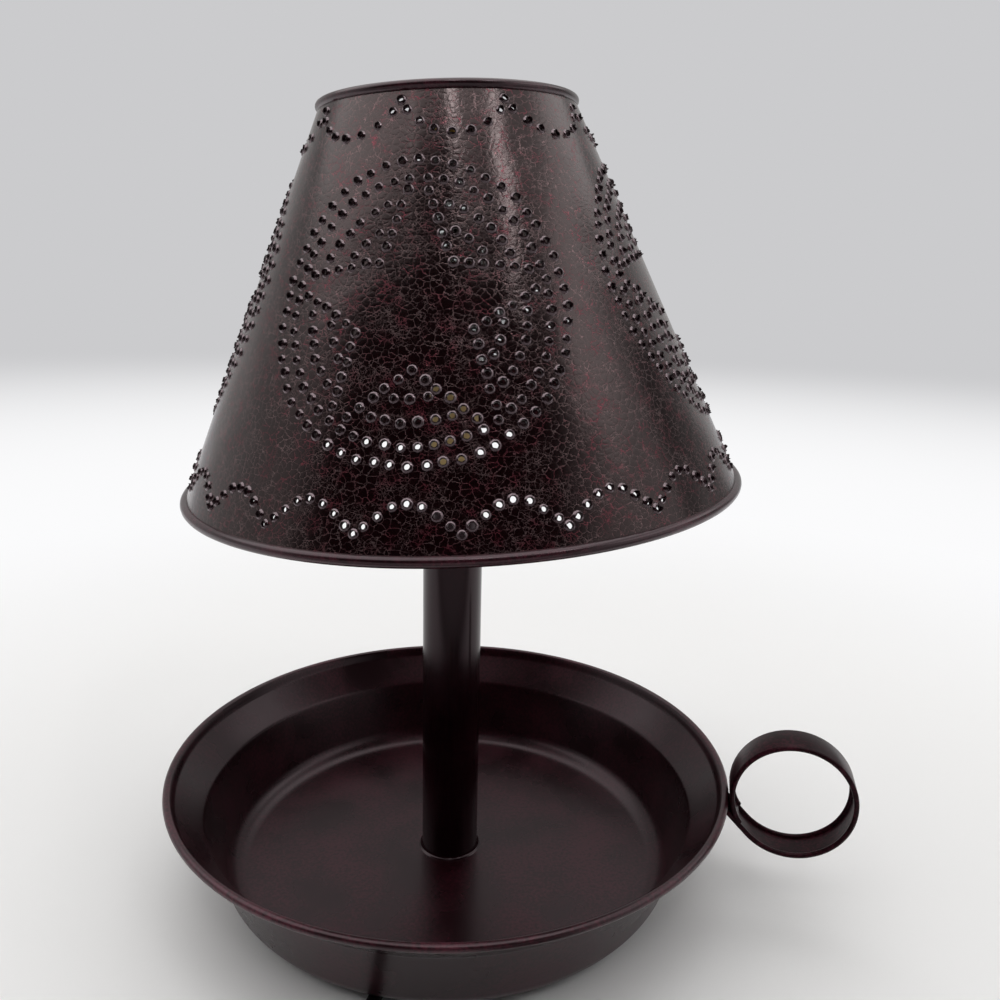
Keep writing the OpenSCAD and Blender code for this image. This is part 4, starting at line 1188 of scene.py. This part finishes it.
class CHAMBERSTICK_OT_socket(Operator):
    """Finishes of the socket, and the bulb with its filament, and the shade's clip"""

    bl_idname = "chamberstick.socket"
    bl_label = "Socket, bulb and clip"

    def execute(self, context):
        for name, nodes in (
            ("zinc_plated_steel", ("nipple", "lock_nuts", "socket_bracket", "socket_rivet", "bulb_contact")),
            ("zinc_plated_steel", ("bulb_clip", "clip_stud")),
            ("drawn_brass", ("screw_shell", "socket_contact", "bulb_cap", "stud_nut")),
            ("moulded_phenolic", ("socket_body",)), ("wound_paper", ("paper_sleeve",)),
        ):
            paint(plain_finish(name), *nodes)
        paint(clear_glass(), "bulb_glass")
        self.filament()
        return {"FINISHED"}

    def filament(self):
        """Glass stem, two lead wires and the coiled wire that glows."""
        stem = [(0.01, 221), (4.2, 221), (3.4, 226), (2.2, 232), (1.7, 242), (1.2, 245), (0.01, 245.6)]
        make_piece("bulb_stem", [spun(stem, 24, closed=False)], clear_glass(), "bulb", (), 60)
        lead_wire, coil_wire = ([around(r * MM, 60 * k) for k in range(6)] for r in (0.3, 0.1))
        parts = []
        for side in (-1, 1):
            route = ((1.0, 240), (1.2, 246), (3.5, 254), (5.5, 262), (6, 264))
            line = smooth_route([at(side * x, 0, z) for x, z in route], 1.5 * MM)
            parts.append(swept(line, [Vector((0, 1, 0))] * len(line), lead_wire))
        # The wire winds 30 times on its way across, in a bow 3 mm high
        coil, count, turns = [], 240, 30
        for t in (i / count for i in range(count + 1)):
            across, up = around(0.5, 360 * turns * t)
            coil.append(at(-6 + 12 * t, across, 264 + 3 * math.sin(math.pi * t) + up))
        parts.append(swept(coil, [Vector((1, 0, 0))] * len(coil), coil_wire))
        make_piece("bulb_filament", parts, plain_finish("zinc_plated_steel"), "bulb", (), 60)


class CHAMBERSTICK_OT_switch(Operator):
    """Switch on the cord, the coil's tie and the plug"""

    bl_idname = "chamberstick.switch"
    bl_label = "Switch, tie and plug"

    def execute(self, context):
        plastic = plain_finish("moulded_thermoplastic")
        for node, name, edge in (
            ("switch_base", "switch_base_moulded", 0.5), ("switch_cover", "switch_cover_moulded", 0.5),
            ("plug_body", "plug_moulded", 1.0),
        ):
            softened(node, name, edge, plastic)
        paint(plastic, "switch_wheel")
        paint(plain_finish("zinc_plated_steel"), "switch_pin", "switch_screw")
        paint(plain_finish("drawn_brass"), "plug_blades")
        self.tie(plastic)
        self.ribs(plastic)
        return {"FINISHED"}

    def tie(self, plastic):
        """Flat tie that holds the coil's turns together."""
        x, y = around(1, 140)
        line = [
            (40.75, 0.1), (40.75, 6), (40.75, 11.3), (40.5, 12.1), (39.8, 12.5), (38.5, 12.55), (29, 12.55),
            (19.5, 12.55), (18.2, 12.5), (17.5, 12.1), (17.27, 11.3), (17.27, 6), (17.27, 0.1),
        ]
        points = [at(COIL_MIDDLE[0] + r * x, COIL_MIDDLE[1] + r * y, z) for r, z in line]
        across = [Vector((-y, x, 0))] * len(points)
        half = [(2, -0.2), (2, 0.2), (1.8, 0.4), (-1.8, 0.4)]
        outline = [(a * MM, b * MM) for a, b in half + [(-a, -b) for a, b in half]]
        strip = swept(points, across, outline)
        make_piece("coil_tie_strip", [strip], plastic, "base", ["coil_tie"], 50)

    def ribs(self, plastic):
        """Upright ribs on the plug's sides, for the fingers."""
        points = [at(-5 - 2.2 * k, -242.5 + side * 9.9, PLUG_HEIGHT) for side in (-1, 1) for k in range(7)]
        values = {"Width": 1.0 * MM, "Depth": 1.0 * MM, "Length": 7.5 * MM, "Finish": plastic}
        piece = made_by(rib_tree(), "plug_grip_ribs", points, values)
        dress(piece, "base")


OPERATORS = (
    CHAMBERSTICK_OT_stage, CHAMBERSTICK_OT_cord, CHAMBERSTICK_OT_pan, CHAMBERSTICK_OT_ring,
    CHAMBERSTICK_OT_tube, CHAMBERSTICK_OT_shade, CHAMBERSTICK_OT_socket, CHAMBERSTICK_OT_switch,
)


class CHAMBERSTICK_PT_panel(Panel):
    """Buttons that make the lamp's pieces"""

    bl_label = "Chamberstick lamp"
    bl_idname = "CHAMBERSTICK_PT_panel"
    bl_space_type = "VIEW_3D"
    bl_region_type = "UI"
    bl_category = "Chamberstick"

    def draw(self, context):
        for operator in OPERATORS:
            self.layout.operator(operator.bl_idname)
        for group in (context.scene.chamberstick_sizes, context.scene.chamberstick_colours):
            for name in group.__annotations__:
                self.layout.prop(group, name)


CLASSES = (ChamberstickSizes, ChamberstickColours) + OPERATORS + (CHAMBERSTICK_PT_panel,)


def register():
    for item in CLASSES:
        bpy.utils.register_class(item)
    bpy.types.Scene.chamberstick_sizes = PointerProperty(type=ChamberstickSizes)
    bpy.types.Scene.chamberstick_colours = PointerProperty(type=ChamberstickColours)


def unregister():
    del bpy.types.Scene.chamberstick_colours
    del bpy.types.Scene.chamberstick_sizes
    for item in reversed(CLASSES):
        bpy.utils.unregister_class(item)


def main():
    register()
    # The camera first, then the switch and plug, which the cord carries
    bpy.ops.chamberstick.stage()
    bpy.ops.chamberstick.switch()
    bpy.ops.chamberstick.cord()
    bpy.ops.chamberstick.pan()
    bpy.ops.chamberstick.finger_ring()
    bpy.ops.chamberstick.tube()
    bpy.ops.chamberstick.shade()
    bpy.ops.chamberstick.socket()


if __name__ == "__main__":
    main()
